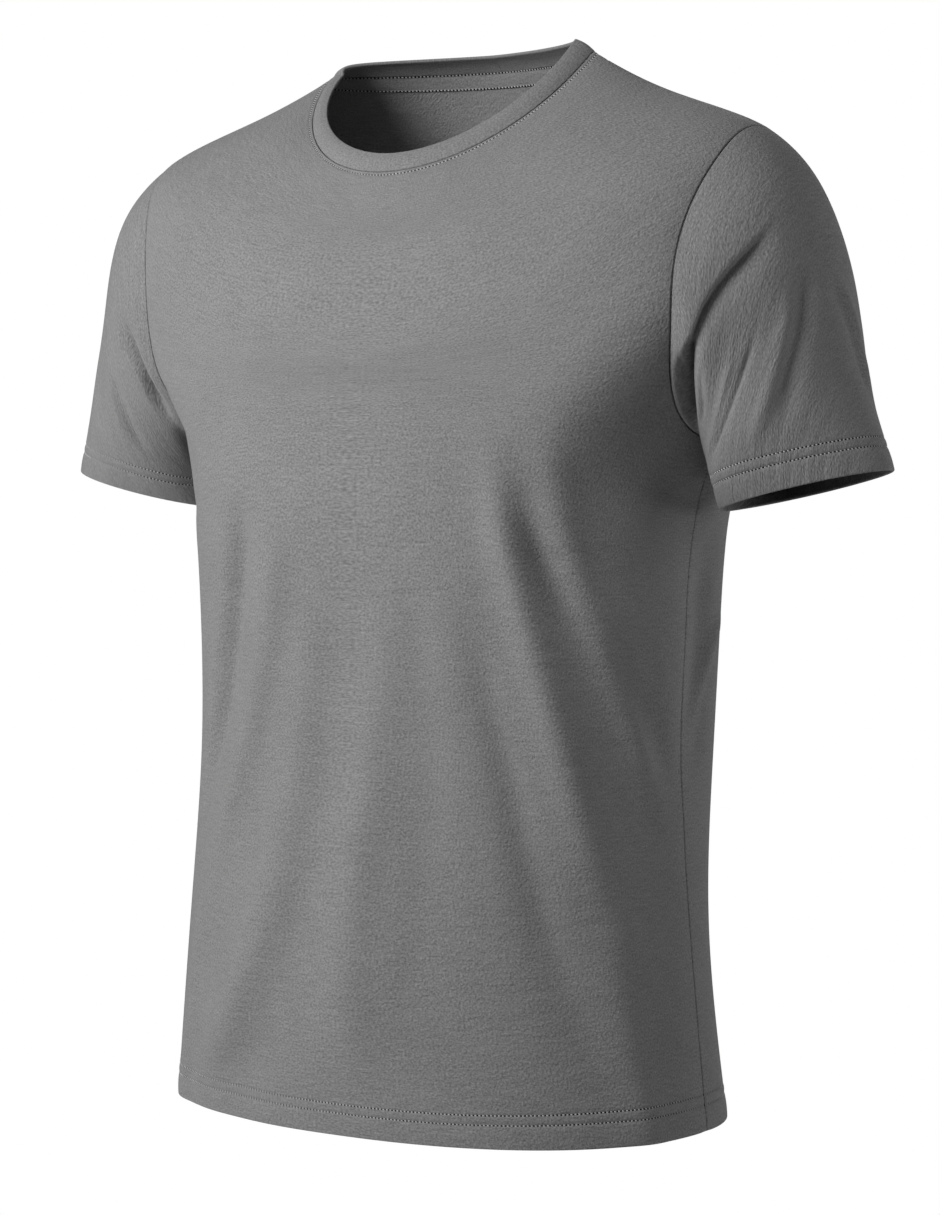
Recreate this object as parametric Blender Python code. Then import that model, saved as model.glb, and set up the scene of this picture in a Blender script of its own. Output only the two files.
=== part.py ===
"""A plain crew neck T-shirt, filled out as it is when worn, with nobody inside it.

The wearer faces -Y and stands upright along +Z, and their left side is at +X. The origin lies between the
two points where the shoulder seams meet the neck seam, which is where a wearer's shoulders carry the shirt.

The body of the shirt is one smooth form, made of rings from the hem up to the neck seam. The front and the
back are two panels cut from that form: they meet at the side seams and the shoulder seams, and each stops
at the armholes and at the neck. A sleeve is a tube from its armhole down to its cuff. The neckband is a
doubled strip that stands on the neck seam, and the neck tape covers that seam inside the back.
Every panel is a thin wall, and neighbours keep a hair's breadth between them where they are sewn.
"""

import math
from collections import namedtuple
from functools import partial

import bpy
import numpy as np

# Cloth, in metres.
JERSEY = 0.0015  # wall of the body and the sleeves
BAND_WALL = 0.0026  # doubled rib of the neckband
TAPE_WALL = 0.0010
SEAM_GAP = 0.0003  # between two neighbours at a seam
HEM_DEPTH = 0.024  # turned up at the hem and at both cuffs, where the wall is two layers thick
HEM_STEP = 0.002  # height over which the second layer ends
TAPE_WIDTH = 0.010
TAPE_DROP = 0.0012  # from the neck seam down to the tape
BAND_BULGE = 0.0012  # how far the neckband rounds outwards between its two edges

# The rings of the body, from the hem up to the neck seam. Heights and sizes are in metres. side_z, front_z
# and back_z are the ring's heights at the side, the centre front and the centre back, half_width is from the
# middle to the side, and front_depth and back_depth are from centre_y to the centre front and back. A
# squareness of 2 is an ellipse, and more is boxier. fall is how late a ring leaves its height at the side
# for the height at the centre. Both are given for the front half and the back half. roll is how much higher
# its left side is than side_z, and its right side lower. From the underarm to the shoulder the rings run on
# over the arm, and the armholes cut that stretch away.
Ring = namedtuple(
    "Ring",
    "name side_z front_z back_z half_width front_depth back_depth centre_y squareness back_squareness"
    " fall back_fall roll",
    defaults=(2.0, 2.0, 0.0),
)
RINGS = (
    Ring("hem", -0.7160, -0.7190, -0.7140, 0.2045, 0.1325, 0.1210, -0.0085, 2.30, 2.30),
    Ring("hip", -0.5950, -0.6055, -0.6025, 0.1940, 0.1325, 0.1205, -0.0115, 2.15, 2.15),
    Ring("waist", -0.4730, -0.4700, -0.4695, 0.1835, 0.1250, 0.1350, -0.0045, 2.45, 2.45),
    Ring("ribs", -0.3490, -0.3495, -0.3525, 0.1860, 0.1295, 0.1380, 0.0005, 2.55, 2.55),
    Ring("underarm", -0.2600, -0.2375, -0.2650, 0.2065, 0.1305, 0.1340, 0.0020, 2.60, 2.60),
    Ring("arm", -0.1735, -0.2120, -0.2130, 0.2430, 0.1335, 0.1240, 0.0055, 2.35, 2.35),
    Ring("deltoid", -0.0815, -0.1805, -0.1630, 0.2485, 0.1270, 0.1160, 0.0050, 2.30, 2.30),
    Ring("shoulder", -0.0565, -0.1385, -0.1080, 0.2335, 0.1155, 0.0995, 0.0070, 2.30, 2.30),
    Ring("yoke", -0.0285, -0.1130, -0.0510, 0.1630, 0.1085, 0.0745, 0.0095, 2.05, 2.05),
    Ring("neck", 0.0062, -0.0808, -0.0001, 0.1094, 0.0973, 0.0462, 0.0141, 2.06, 1.68, 0.99, 1.36, 0.003),
)
ARMHOLE_FRONT = 34.0  # degrees round the body that an armhole cuts into the front
ARMHOLE_BACK = 32.0  # and into the back

# The top edge of the neckband, in the same columns as a ring.
BAND_TOP = Ring(
    "band top", 0.0033, -0.0672, 0.0094, 0.0928, 0.0730, 0.0397, 0.0038, 2.16, 1.67, 1.11, 0.50, 0.003
)

# The rings of the left sleeve, from the armhole to the cuff. The right sleeve mirrors them. x, y and z are a
# ring's middle. lean_deg turns its top from straight up, at 0, to straight out, at 90. long is from its
# middle to its top, and deep is from its middle to its front.
SleeveRing = namedtuple("SleeveRing", "name x y z lean_deg long deep")
SLEEVE_RINGS = (
    SleeveRing("armhole", 0.2130, 0.0035, -0.1645, 6, 0.0990, 0.0720),
    SleeveRing("cap", 0.2320, 0.0015, -0.1785, 16, 0.0895, 0.0705),
    SleeveRing("middle", 0.2475, 0.0080, -0.2150, 30, 0.0790, 0.0700),
    SleeveRing("lower", 0.2560, 0.0055, -0.2525, 50, 0.0610, 0.0645),
    SleeveRing("cuff", 0.2695, 0.0035, -0.2935, 77, 0.0610, 0.0405),
)
SLEEVE_SETTLE = 0.55  # share of the sleeve over which the armhole's shape fades into the rings
SHARP_TURN, SOFT_TURN = 0.2, 0.7  # cosine of the angle between two walls at a seam
SEAM_CALM = 0.12  # share of the sleeve over which its folds begin

# Soft folds. A fold runs along a bend through its top, its middle and its foot. On the body each is given by
# degrees round from the centre front, positive towards the wearer's left, and a height. On a sleeve it is
# given by degrees round from the top by way of the front, and by how far down the sleeve it lies. A fold that
# stands out has a positive rise, and a trough has a negative one. Its width is from its line to where it has
# a third of that rise.
Fold = namedtuple("Fold", "top_deg top middle_deg middle foot_deg foot top_width foot_width rise")
BODY_FOLDS = (
    # Below the chest at the left: two long troughs that run to the hip, and the cloth that stands by them.
    Fold(31, -0.293, 54, -0.391, 81, -0.542, 0.012, 0.023, -0.0085),
    Fold(25, -0.248, 40, -0.397, 67, -0.609, 0.012, 0.018, 0.0090),
    Fold(21, -0.348, 37, -0.505, 60, -0.707, 0.011, 0.014, -0.0031),
    Fold(37, -0.235, 56, -0.390, 87, -0.510, 0.015, 0.019, 0.0077),
    Fold(61, -0.556, 65, -0.657, 73, -0.766, 0.018, 0.016, 0.0040),
    # The edge of the chest, the hollow under the left arm and the left side.
    Fold(32, -0.306, 48, -0.204, 72, -0.157, 0.043, 0.034, 0.0095),
    Fold(51, -0.318, 64, -0.276, 75, -0.216, 0.037, 0.034, -0.0028),
    Fold(113, -0.371, 99, -0.411, 92, -0.481, 0.007, 0.007, 0.0031),
    # Down the front at the right.
    Fold(-17, -0.296, -19, -0.415, -45, -0.589, 0.011, 0.014, 0.0053),
    Fold(-26, -0.294, -31, -0.387, -53, -0.548, 0.011, 0.011, -0.0095),
    Fold(-7, -0.462, -17, -0.589, -44, -0.727, 0.016, 0.020, 0.0084),
    Fold(-2, -0.483, -13, -0.590, -28, -0.775, 0.012, 0.019, -0.0020),
    Fold(-42, -0.540, -47, -0.650, -52, -0.757, 0.016, 0.017, 0.0037),
    # Down the middle of the front.
    Fold(1, -0.341, 3, -0.541, 1, -0.710, 0.010, 0.020, 0.0082),
    Fold(7, -0.354, 11, -0.521, 10, -0.696, 0.013, 0.015, 0.0025),
    Fold(-7, -0.349, -7, -0.432, -10, -0.521, 0.008, 0.009, 0.0014),
    # The right side.
    Fold(-46, -0.305, -60, -0.262, -72, -0.218, 0.029, 0.028, -0.0070),
    Fold(-62, -0.291, -72, -0.400, -88, -0.540, 0.014, 0.020, -0.0040),
    # Shallow waves between them.
    Fold(-11, -0.345, -11, -0.458, -22, -0.577, 0.013, 0.012, 0.0018),
    Fold(-1, -0.340, 1, -0.442, -3, -0.527, 0.009, 0.016, -0.0049),
    Fold(12, -0.333, 12, -0.441, 18, -0.579, 0.011, 0.019, -0.0029),
    Fold(30, -0.443, 41, -0.527, 51, -0.620, 0.011, 0.014, -0.0013),
    Fold(62, -0.370, 75, -0.435, 91, -0.515, 0.014, 0.015, -0.0040),
    Fold(93, -0.318, 95, -0.401, 92, -0.492, 0.013, 0.011, -0.0064),
    Fold(-11, -0.651, -23, -0.661, -37, -0.680, 0.013, 0.015, 0.0011),
    # The back.
    Fold(118, -0.330, 132, -0.450, 140, -0.640, 0.014, 0.018, -0.0045),
    Fold(150, -0.360, 148, -0.520, 155, -0.780, 0.014, 0.016, 0.0030),
    Fold(172, -0.300, 168, -0.480, 174, -0.760, 0.015, 0.017, -0.0035),
    Fold(192, -0.380, 196, -0.540, 190, -0.700, 0.013, 0.015, 0.0028),
    Fold(214, -0.320, 208, -0.500, 204, -0.790, 0.014, 0.018, -0.0040),
    Fold(238, -0.310, 230, -0.430, 222, -0.590, 0.014, 0.016, 0.0030),
    Fold(129, -0.290, 140, -0.240, 152, -0.195, 0.024, 0.022, -0.0035),
    Fold(230, -0.280, 220, -0.235, 209, -0.195, 0.024, 0.022, -0.0035),
)
LEFT_SLEEVE_FOLDS = (
    # Round the front under the shoulder, then down between the armhole seam and the sleeve's front edge.
    Fold(38, 0.066, 78, 0.050, 122, 0.030, 0.009, 0.011, -0.0060),
    Fold(104, 0.030, 132, 0.046, 162, 0.105, 0.009, 0.011, -0.0060),
    Fold(47, 0.085, 82, 0.078, 114, 0.066, 0.011, 0.012, 0.0020),
    # Down to the cuff.
    Fold(32, 0.103, 37, 0.147, 70, 0.205, 0.009, 0.012, -0.0070),
    Fold(20, 0.106, 18, 0.153, 30, 0.194, 0.013, 0.015, 0.0035),
    Fold(75, 0.116, 95, 0.146, 109, 0.166, 0.008, 0.008, -0.0040),
    Fold(53, 0.106, 69, 0.147, 96, 0.187, 0.011, 0.010, 0.0012),
    # Behind.
    Fold(240, 0.050, 272, 0.064, 305, 0.072, 0.009, 0.009, -0.0050),
    Fold(250, 0.110, 268, 0.135, 296, 0.168, 0.009, 0.009, -0.0030),
)
RIGHT_SLEEVE_FOLDS = (
    Fold(90, 0.040, 121, 0.066, 143, 0.098, 0.011, 0.009, -0.0055),
    Fold(90, 0.062, 111, 0.090, 136, 0.120, 0.010, 0.012, 0.0022),
    Fold(96, 0.150, 118, 0.162, 138, 0.184, 0.010, 0.010, -0.0032),
    Fold(57, 0.122, 65, 0.148, 76, 0.188, 0.010, 0.010, -0.0035),
    Fold(238, 0.046, 270, 0.062, 306, 0.070, 0.009, 0.009, -0.0050),
    Fold(256, 0.116, 276, 0.138, 300, 0.166, 0.009, 0.009, -0.0028),
)
FOLD_STEPS = 12  # straight pieces of a fold's bend
FOLD_ENDS = 0.3  # share of a fold over which it rises at its top and dies away at its foot
BODY_RADIUS = 0.160  # turns degrees round the body into metres of cloth
SLEEVE_RADIUS = 0.065  # and round a sleeve

# Mesh density.
BODY_COLUMNS = 28
BODY_ROWS = 14  # from the hem to the underarm
ARMHOLE_ROWS = 11
YOKE_ROWS = 4
SLEEVE_ROWS = 9
BAND_ROWS = 3
LENGTH_STEPS = 25  # pieces in which the length of a sleeve is measured

LEFT, RIGHT = 1, -1


def natural_spline(stations, values, at):
    """The natural cubic spline through values at stations, read at the points at."""
    stations, values = np.asarray(stations, float), np.asarray(values, float)
    count, gaps = len(stations), np.diff(stations)
    slopes = np.diff(values) / gaps
    system, wanted = np.eye(count), np.zeros(count)
    for k in range(1, count - 1):
        system[k, k - 1 : k + 2] = gaps[k - 1], 2 * (gaps[k - 1] + gaps[k]), gaps[k]
        wanted[k] = 6 * (slopes[k] - slopes[k - 1])
    bends = np.linalg.solve(system, wanted)
    at = np.asarray(at, float)
    k = np.clip(np.searchsorted(stations, at) - 1, 0, count - 2)
    gap, before, after = gaps[k], at - stations[k], stations[k + 1] - at
    return (
        (bends[k] * after**3 + bends[k + 1] * before**3) / (6 * gap)
        + (values[k] / gap - bends[k] * gap / 6) * after
        + (values[k + 1] / gap - bends[k + 1] * gap / 6) * before
    )


def column(table, name):
    """One column of a table of rings."""
    return np.array([getattr(row, name) for row in table])


def travelled(*lines):
    """Distance along a bundle of lines, averaged over them, at each of their points, from 0 to 1."""
    steps = np.mean([np.linalg.norm(np.diff(line, axis=0), axis=1) for line in lines], axis=0)
    reached = np.concatenate([[0.0], np.cumsum(steps)])
    return reached / reached[-1]


def cloth_length(*lines):
    """Length of a bundle of lines, averaged over them."""
    return np.mean([np.linalg.norm(np.diff(line, axis=0), axis=1).sum() for line in lines])


SIDE_LINE = np.stack([column(RINGS, "half_width"), column(RINGS, "side_z")], axis=1)
FRONT_LINE = np.stack([column(RINGS, "front_depth"), column(RINGS, "front_z")], axis=1)
STATIONS = travelled(SIDE_LINE, FRONT_LINE)
BODY_LENGTH = cloth_length(SIDE_LINE, FRONT_LINE)
SLEEVE_LEAN = np.radians(column(SLEEVE_RINGS, "lean_deg"))
SLEEVE_TOP_LINE = np.stack([column(SLEEVE_RINGS, "x"), column(SLEEVE_RINGS, "z")], axis=1) + column(
    SLEEVE_RINGS, "long"
)[:, None] * np.stack([np.sin(SLEEVE_LEAN), np.cos(SLEEVE_LEAN)], axis=1)
SLEEVE_STATIONS = travelled(SLEEVE_TOP_LINE)
SLEEVE_LENGTH = cloth_length(SLEEVE_TOP_LINE)
UNDERARM = STATIONS[column(RINGS, "name").tolist().index("underarm")]
SHOULDER = STATIONS[column(RINGS, "name").tolist().index("shoulder")]


def power(value, exponent):
    """The value raised to the exponent, with its sign kept."""
    return np.sign(value) * np.abs(value) ** exponent


def ring_points(angle, ring):
    """Points of a ring at angles from the centre front, in radians."""
    before = np.cos(angle) > 0
    bend = 2 / np.where(before, ring.squareness, ring.back_squareness)
    late = np.abs(np.cos(angle)) ** np.where(before, ring.fall, ring.back_fall)
    depth = np.where(before, ring.front_depth, ring.back_depth)
    end_z = np.where(before, ring.front_z, ring.back_z)
    ahead, aside = power(np.cos(angle), bend), power(np.sin(angle), bend)
    height = ring.side_z + (end_z - ring.side_z) * late + ring.roll * aside
    return np.stack(
        np.broadcast_arrays(ring.half_width * aside, ring.centre_y - depth * ahead, height), axis=-1
    )


def bare_form(angle, station):
    """The body's form without its folds."""
    sizes = {name: natural_spline(STATIONS, column(RINGS, name), station) for name in Ring._fields[1:]}
    return ring_points(angle, Ring("between", **sizes))


def smooth_step(share):
    """0 below 0, 1 above 1, and an even bend between."""
    share = np.clip(share, 0, 1)
    return share**2 * (3 - 2 * share)


def fold_line(fold, radius):
    """The bend of a fold in metres of cloth, across and down, as a row of points."""
    share = np.linspace(0, 1, FOLD_STEPS + 1)
    past = 1 - share
    weights = np.stack([past * (past - share), 4 * share * past, share * (share - past)], axis=1)
    across = radius * np.radians([fold.top_deg, fold.middle_deg, fold.foot_deg])
    return weights @ np.stack([across, [fold.top, fold.middle, fold.foot]], axis=1)


def relief(folds, degrees, down, radius):
    """How far the folds move the cloth out, at points given by degrees round and by distance down."""
    total = np.zeros(np.shape(degrees))
    for fold in folds:
        line = fold_line(fold, radius)
        middle = (fold.top_deg + fold.foot_deg) / 2
        across = radius * np.radians(middle + (degrees - middle + 180) % 360 - 180)
        here = np.stack([across, down], axis=-1)
        nearest = np.full(np.shape(degrees), np.inf)
        place = np.zeros(np.shape(degrees))
        for step, (start, end) in enumerate(zip(line[:-1], line[1:])):
            run = end - start
            share = np.clip((here - start) @ run / (run @ run), 0, 1)
            distance = np.linalg.norm(here - start - share[..., None] * run, axis=-1)
            place = np.where(distance < nearest, (step + share) / FOLD_STEPS, place)
            nearest = np.minimum(nearest, distance)
        width = fold.top_width + (fold.foot_width - fold.top_width) * place
        strength = smooth_step(place / FOLD_ENDS) * smooth_step((1 - place) / FOLD_ENDS)
        total += fold.rise * strength * np.exp(-((nearest / width) ** 2))
    return total


def normals_of(surface, first, second, nudge=1e-3):
    """Unit normals of surface(first, second), which point the way that first x second does."""
    along_first = surface(first + nudge, second) - surface(first - nudge, second)
    along_second = surface(first, second + nudge) - surface(first, second - nudge)
    across = np.cross(along_first, along_second)
    return across / np.linalg.norm(across, axis=-1, keepdims=True)


def body_form(angle, station):
    """The outer face of the body's cloth, folds and all."""
    bare = bare_form(angle, station)
    rise = relief(BODY_FOLDS, np.degrees(angle), bare[..., 2], BODY_RADIUS)
    return bare + rise[..., None] * normals_of(bare_form, angle, station)


def armhole(turn, side):
    """Angle and station of a side's armhole at turn radians from its top, by way of its front."""
    cut = np.where(np.sin(turn) > 0, ARMHOLE_FRONT, ARMHOLE_BACK)
    angle = side * np.radians(90 - cut * np.sin(turn))
    station = (UNDERARM + SHOULDER) / 2 + (SHOULDER - UNDERARM) / 2 * np.cos(turn)
    return angle, station


def panel_rows():
    """Stations of a panel's rows, each with the turn of the armhole that it meets, or 0 for none."""
    hem = np.array([0.0, HEM_DEPTH - HEM_STEP, HEM_DEPTH]) / BODY_LENGTH
    lower = np.linspace(hem[-1], UNDERARM, BODY_ROWS)[1:]
    turns = np.linspace(math.pi, 0, ARMHOLE_ROWS + 1)
    yoke = np.linspace(SHOULDER, 1, YOKE_ROWS + 1)[1:]
    stations = np.concatenate([hem, lower[:-1], armhole(turns, LEFT)[1], yoke])
    turn_at_row = np.concatenate([np.zeros(len(hem) + len(lower) - 1), turns, np.zeros(len(yoke))])
    return stations, turn_at_row


EDGES = {
    "first_column": ((slice(None), 0), (slice(None), 1)),
    "last_column": ((slice(None), -1), (slice(None), -2)),
    "first_row": ((0,), (1,)),
    "last_row": ((-1,), (-2,)),
}


def inset(grid, normals, sides, wraps):
    """The grid with its line of points on each named side moved in, square to that line, by half a gap."""
    moved = grid.copy()
    for side in sides:
        edge, inner = EDGES[side]
        line = grid[edge]
        along = np.roll(line, -1, axis=0) - np.roll(line, 1, axis=0) if wraps else np.gradient(line, axis=0)
        square = np.cross(normals[edge], along)
        square /= np.linalg.norm(square, axis=-1, keepdims=True)
        square *= np.sign(np.sum(square * (grid[inner] - line), axis=-1, keepdims=True))
        moved[edge] += SEAM_GAP / 2 * square
    return moved


def wall(name, outer, inner, wraps, material):
    """One closed solid between two grids of points, whose rows and columns match. Both faces of the wall are
    split along the shorter diagonals of the outer grid, so they stay a wall apart. Its rims are all split the
    same way, so two rims at a seam stay a gap apart."""
    rows, columns = outer.shape[:2]
    points = np.concatenate([outer.reshape(-1, 3), inner.reshape(-1, 3)])
    offset = rows * columns
    next_column = [(c + 1) % columns for c in range(columns if wraps else columns - 1)]
    faces = []
    for r in range(rows - 1):
        for c, after in enumerate(next_column):
            low, beside = r * columns + c, r * columns + after
            above, across = low + columns, beside + columns
            halves = ((low, beside, across), (low, across, above))
            if math.dist(points[beside], points[above]) < math.dist(points[low], points[across]):
                halves = ((low, beside, above), (beside, across, above))
            for half in halves:
                faces.append(half)
                faces.append(tuple(offset + corner for corner in reversed(half)))
    rims = []
    for c, after in enumerate(next_column):
        rims.append((c, offset + c, offset + after, after))
        low, beside = (rows - 1) * columns + c, (rows - 1) * columns + after
        rims.append((low, beside, offset + beside, offset + low))
    if not wraps:
        for r in range(rows - 1):
            low, high = r * columns, (r + 1) * columns
            rims.append((low, high, offset + high, offset + low))
            low, high = low + columns - 1, high + columns - 1
            rims.append((low, offset + low, offset + high, high))
    for first, second, third, fourth in rims:
        faces += [(first, second, third), (first, third, fourth)]
    mesh = bpy.data.meshes.new(name)
    mesh.from_pydata([tuple(point) for point in points], [], faces)
    mesh.materials.append(material)
    mesh.shade_smooth()
    solid = bpy.data.objects.new(name, mesh)
    bpy.context.scene.collection.objects.link(solid)
    return solid


def hem_wall(distance):
    """Thickness of the cloth at a distance from a hem's edge: two layers in the hem, and one above it."""
    share = np.clip((HEM_DEPTH - distance) / HEM_STEP, 0, 1)
    return JERSEY * (1 + share)


def make_panel(name, facing, cut, edge_sides, material):
    """A panel that faces a number of degrees round from the front. cut is how far the armholes cut into it,
    and edge_sides are the wearer's sides at its first and its last column."""
    stations, turns = panel_rows()
    reach = np.radians(90 - cut * np.sin(turns))
    share = np.linspace(-1, 1, BODY_COLUMNS + 1)
    angles = math.radians(facing) + share[None, :] * reach[:, None]
    rows = np.broadcast_to(stations[:, None], angles.shape)
    normals = normals_of(body_form, angles, rows)
    normals[-1] = seam_normals(normals[-1], normals_of(flat_band, angles[-1], np.zeros_like(angles[-1])))
    beside = np.flatnonzero((stations >= UNDERARM) & (stations <= SHOULDER))
    by_turn = turns[beside] * (1 if facing == 0 else -1)
    for edge, side in zip((0, -1), edge_sides):
        sleeve = sleeve_normals(by_turn, np.zeros_like(by_turn), side)
        normals[beside, edge] = seam_normals(normals[beside, edge], sleeve)
    outer = inset(body_form(angles, rows), normals, ("first_column", "last_column", "last_row"), wraps=False)
    thickness = hem_wall(stations * BODY_LENGTH)
    return wall(name, outer, outer - normals * thickness[:, None, None], False, material)


def sleeve_rings(turn, share, side):
    """The tube of a sleeve, made from its rings alone."""
    names = SleeveRing._fields[1:]
    size = {name: natural_spline(SLEEVE_STATIONS, column(SLEEVE_RINGS, name), share) for name in names}
    lean = np.radians(size["lean_deg"])
    return np.stack(
        np.broadcast_arrays(
            side * (size["x"] + size["long"] * np.sin(lean) * np.cos(turn)),
            size["y"] - size["deep"] * np.sin(turn),
            size["z"] + size["long"] * np.cos(lean) * np.cos(turn),
        ),
        axis=-1,
    )


def bare_sleeve(turn, share, side):
    """A sleeve without its folds: turn is in radians from its top by way of its front, and share runs from 0
    at the armhole to 1 at the cuff."""
    fade = smooth_step(1 - share / SLEEVE_SETTLE)
    at_armhole = body_form(*armhole(turn, side)) - sleeve_rings(turn, np.zeros_like(turn), side)
    return sleeve_rings(turn, share, side) + at_armhole * fade[..., None]


def sleeve_normals(turn, share, side):
    """Unit normals of a sleeve without its folds, which point out of it."""
    return side * normals_of(partial(bare_sleeve, side=side), turn, share)


def make_sleeve(name, side, folds, material):
    """A side's sleeve with its folds. Its columns run the other way round at the right, so that both sleeves
    face outwards."""
    turn = np.linspace(0, 2 * math.pi, 2 * ARMHOLE_ROWS, endpoint=False)[::side]
    lines = bare_sleeve(*np.meshgrid(turn, np.linspace(0, 1, LENGTH_STEPS)), side)
    lengths = np.linalg.norm(np.diff(lines, axis=0), axis=-1).sum(axis=0)
    above_hem = np.linspace(0, 1, SLEEVE_ROWS)[:, None] * (1 - HEM_DEPTH / lengths)
    hem = 1 - np.array([[HEM_DEPTH - HEM_STEP], [0.0]]) / lengths
    shares = np.concatenate([above_hem, hem])
    turns = np.broadcast_to(turn, shares.shape)
    normals = sleeve_normals(turns, shares, side)
    rise = relief(folds, np.degrees(turns), shares * SLEEVE_LENGTH, SLEEVE_RADIUS)
    rise *= smooth_step(shares / SEAM_CALM)
    folded = bare_sleeve(turns, shares, side) + rise[..., None] * normals
    outer = inset(folded, normals, ("first_row",), wraps=True)
    normals[0] = seam_normals(normals[0], normals_of(body_form, *armhole(turn, side)))
    inner = outer - normals * hem_wall((1 - shares) * lengths)[..., None]
    return wall(name, outer, inner, True, material)


def flat_band(angle, share):
    """The neckband before it rounds out: share runs from 0 at the neck seam to 1 at the top edge."""
    foot = body_form(angle, np.ones_like(angle))
    top = ring_points(angle, BAND_TOP)
    return foot + (top - foot) * share[..., None]


def seam_normals(own, other):
    """The direction of a wall's thickness at a seam. It is the neighbour's too where the two walls run on
    into each other, and the wall's own where they turn back sharply, as under the arm."""
    alike = np.sum(own * other, axis=-1, keepdims=True)
    both = own + other * smooth_step((alike - SHARP_TURN) / (SOFT_TURN - SHARP_TURN))
    return both / np.linalg.norm(both, axis=-1, keepdims=True)


def make_neckband(name, material):
    """The doubled strip from the neck seam up to its folded top edge."""
    angle = np.linspace(0, 2 * math.pi, 2 * BODY_COLUMNS, endpoint=False)
    angles, shares = np.meshgrid(angle, np.linspace(0, 1, BAND_ROWS + 1))
    normals = normals_of(flat_band, angles, shares)
    rounded = flat_band(angles, shares) + normals * BAND_BULGE * np.sin(math.pi * shares)[..., None]
    normals[0] = seam_normals(normals[0], normals_of(body_form, angle, np.ones_like(angle)))
    outer = inset(rounded, normals, ("first_row",), wraps=True)
    return wall(name, outer, outer - normals * BAND_WALL, True, material)


def make_neck_tape(name, material):
    """The strip inside the back, just under the neck seam, from one shoulder seam to the other."""
    angle = np.linspace(math.pi / 2, 3 * math.pi / 2, BODY_COLUMNS + 1)[1:-1]
    stations = 1 - np.array([TAPE_DROP + TAPE_WIDTH, TAPE_DROP + TAPE_WIDTH / 2, TAPE_DROP]) / BODY_LENGTH
    angles, rows = np.meshgrid(angle, stations)
    normals = normals_of(body_form, angles, rows)
    outer = body_form(angles, rows) - normals * (JERSEY + SEAM_GAP)
    return wall(name, outer, outer - normals * TAPE_WALL, False, material)


def cloth_material(name, colour):
    """Dull cloth of one colour."""
    material = bpy.data.materials.new(name)
    material.use_nodes = True
    shader = material.node_tree.nodes["Principled BSDF"]
    shader.inputs["Base Color"].default_value = (*colour, 1)
    shader.inputs["Roughness"].default_value = 0.9
    shader.inputs["Metallic"].default_value = 0
    return material


def main():
    """Clears the scene and makes the shirt's six pieces."""
    for thing in list(bpy.data.objects):
        bpy.data.objects.remove(thing)
    jersey = cloth_material("grey cotton jersey", (0.21, 0.21, 0.21))
    make_panel("front", 0, ARMHOLE_FRONT, (RIGHT, LEFT), jersey)
    make_panel("back", 180, ARMHOLE_BACK, (LEFT, RIGHT), jersey)
    make_sleeve("sleeve_left", LEFT, LEFT_SLEEVE_FOLDS, jersey)
    make_sleeve("sleeve_right", RIGHT, RIGHT_SLEEVE_FOLDS, jersey)
    make_neckband("neckband", cloth_material("grey cotton rib", (0.20, 0.20, 0.20)))
    make_neck_tape("neck_tape", cloth_material("grey cotton tape", (0.20, 0.20, 0.20)))


main()
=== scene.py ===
"""A plain grey cotton crew neck T-shirt, filled out as it is when worn, dressed over its solids.

The wearer faces -Y and stands along +Z, and their left side is at +X. Every cloth piece is a thin shell on
the form of the solid that it stands for, with its seams turned in, its hems turned up and its folds pressed
in. Lengths are in metres unless a name says otherwise.
"""

import logging
import math
from collections.abc import Callable, Sequence
from dataclasses import dataclass, field
from enum import Enum
from functools import cached_property

import bpy
import numpy as np
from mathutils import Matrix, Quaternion, Vector, kdtree


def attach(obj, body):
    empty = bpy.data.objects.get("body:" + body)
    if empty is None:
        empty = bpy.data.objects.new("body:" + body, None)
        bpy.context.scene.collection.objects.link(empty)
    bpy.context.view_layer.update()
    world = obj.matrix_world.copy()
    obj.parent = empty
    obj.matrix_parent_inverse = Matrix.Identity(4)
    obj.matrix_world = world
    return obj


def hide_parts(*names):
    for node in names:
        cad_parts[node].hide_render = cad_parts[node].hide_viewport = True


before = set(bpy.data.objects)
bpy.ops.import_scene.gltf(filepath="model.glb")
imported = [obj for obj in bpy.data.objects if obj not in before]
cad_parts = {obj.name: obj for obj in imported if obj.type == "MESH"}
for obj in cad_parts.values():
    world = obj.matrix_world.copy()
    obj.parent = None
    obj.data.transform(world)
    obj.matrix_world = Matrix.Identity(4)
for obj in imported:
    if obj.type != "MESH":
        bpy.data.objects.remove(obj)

log = logging.getLogger("crew neck t-shirt")

MM = 0.001


class Side(Enum):
    """The wearer's own sides."""

    LEFT = 1
    RIGHT = -1


class Facing(Enum):
    """The way a body panel faces, in degrees round from the centre front."""

    FRONT = 0
    BACK = 180


# --- Cut and drape ---


@dataclass(frozen=True)
class Ring:
    """A ring of the body. Its heights at the side, the centre front and the centre back, its half width, its
    depths from centre_y, its squareness in front and behind (2 is an ellipse), how late it leaves its height
    at the side in front and behind, and how much higher its left side is than the height given."""

    name: str
    side_z: float
    front_z: float
    back_z: float
    half_width: float
    front_depth: float
    back_depth: float
    centre_y: float
    squareness: float
    back_squareness: float
    fall: float = 2.0
    back_fall: float = 2.0
    roll: float = 0.0


@dataclass(frozen=True)
class SleeveRing:
    """A ring of the left sleeve: its middle, its lean from upright, and its two half sizes."""

    name: str
    x: float
    y: float
    z: float
    lean_deg: float
    long: float
    deep: float


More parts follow.
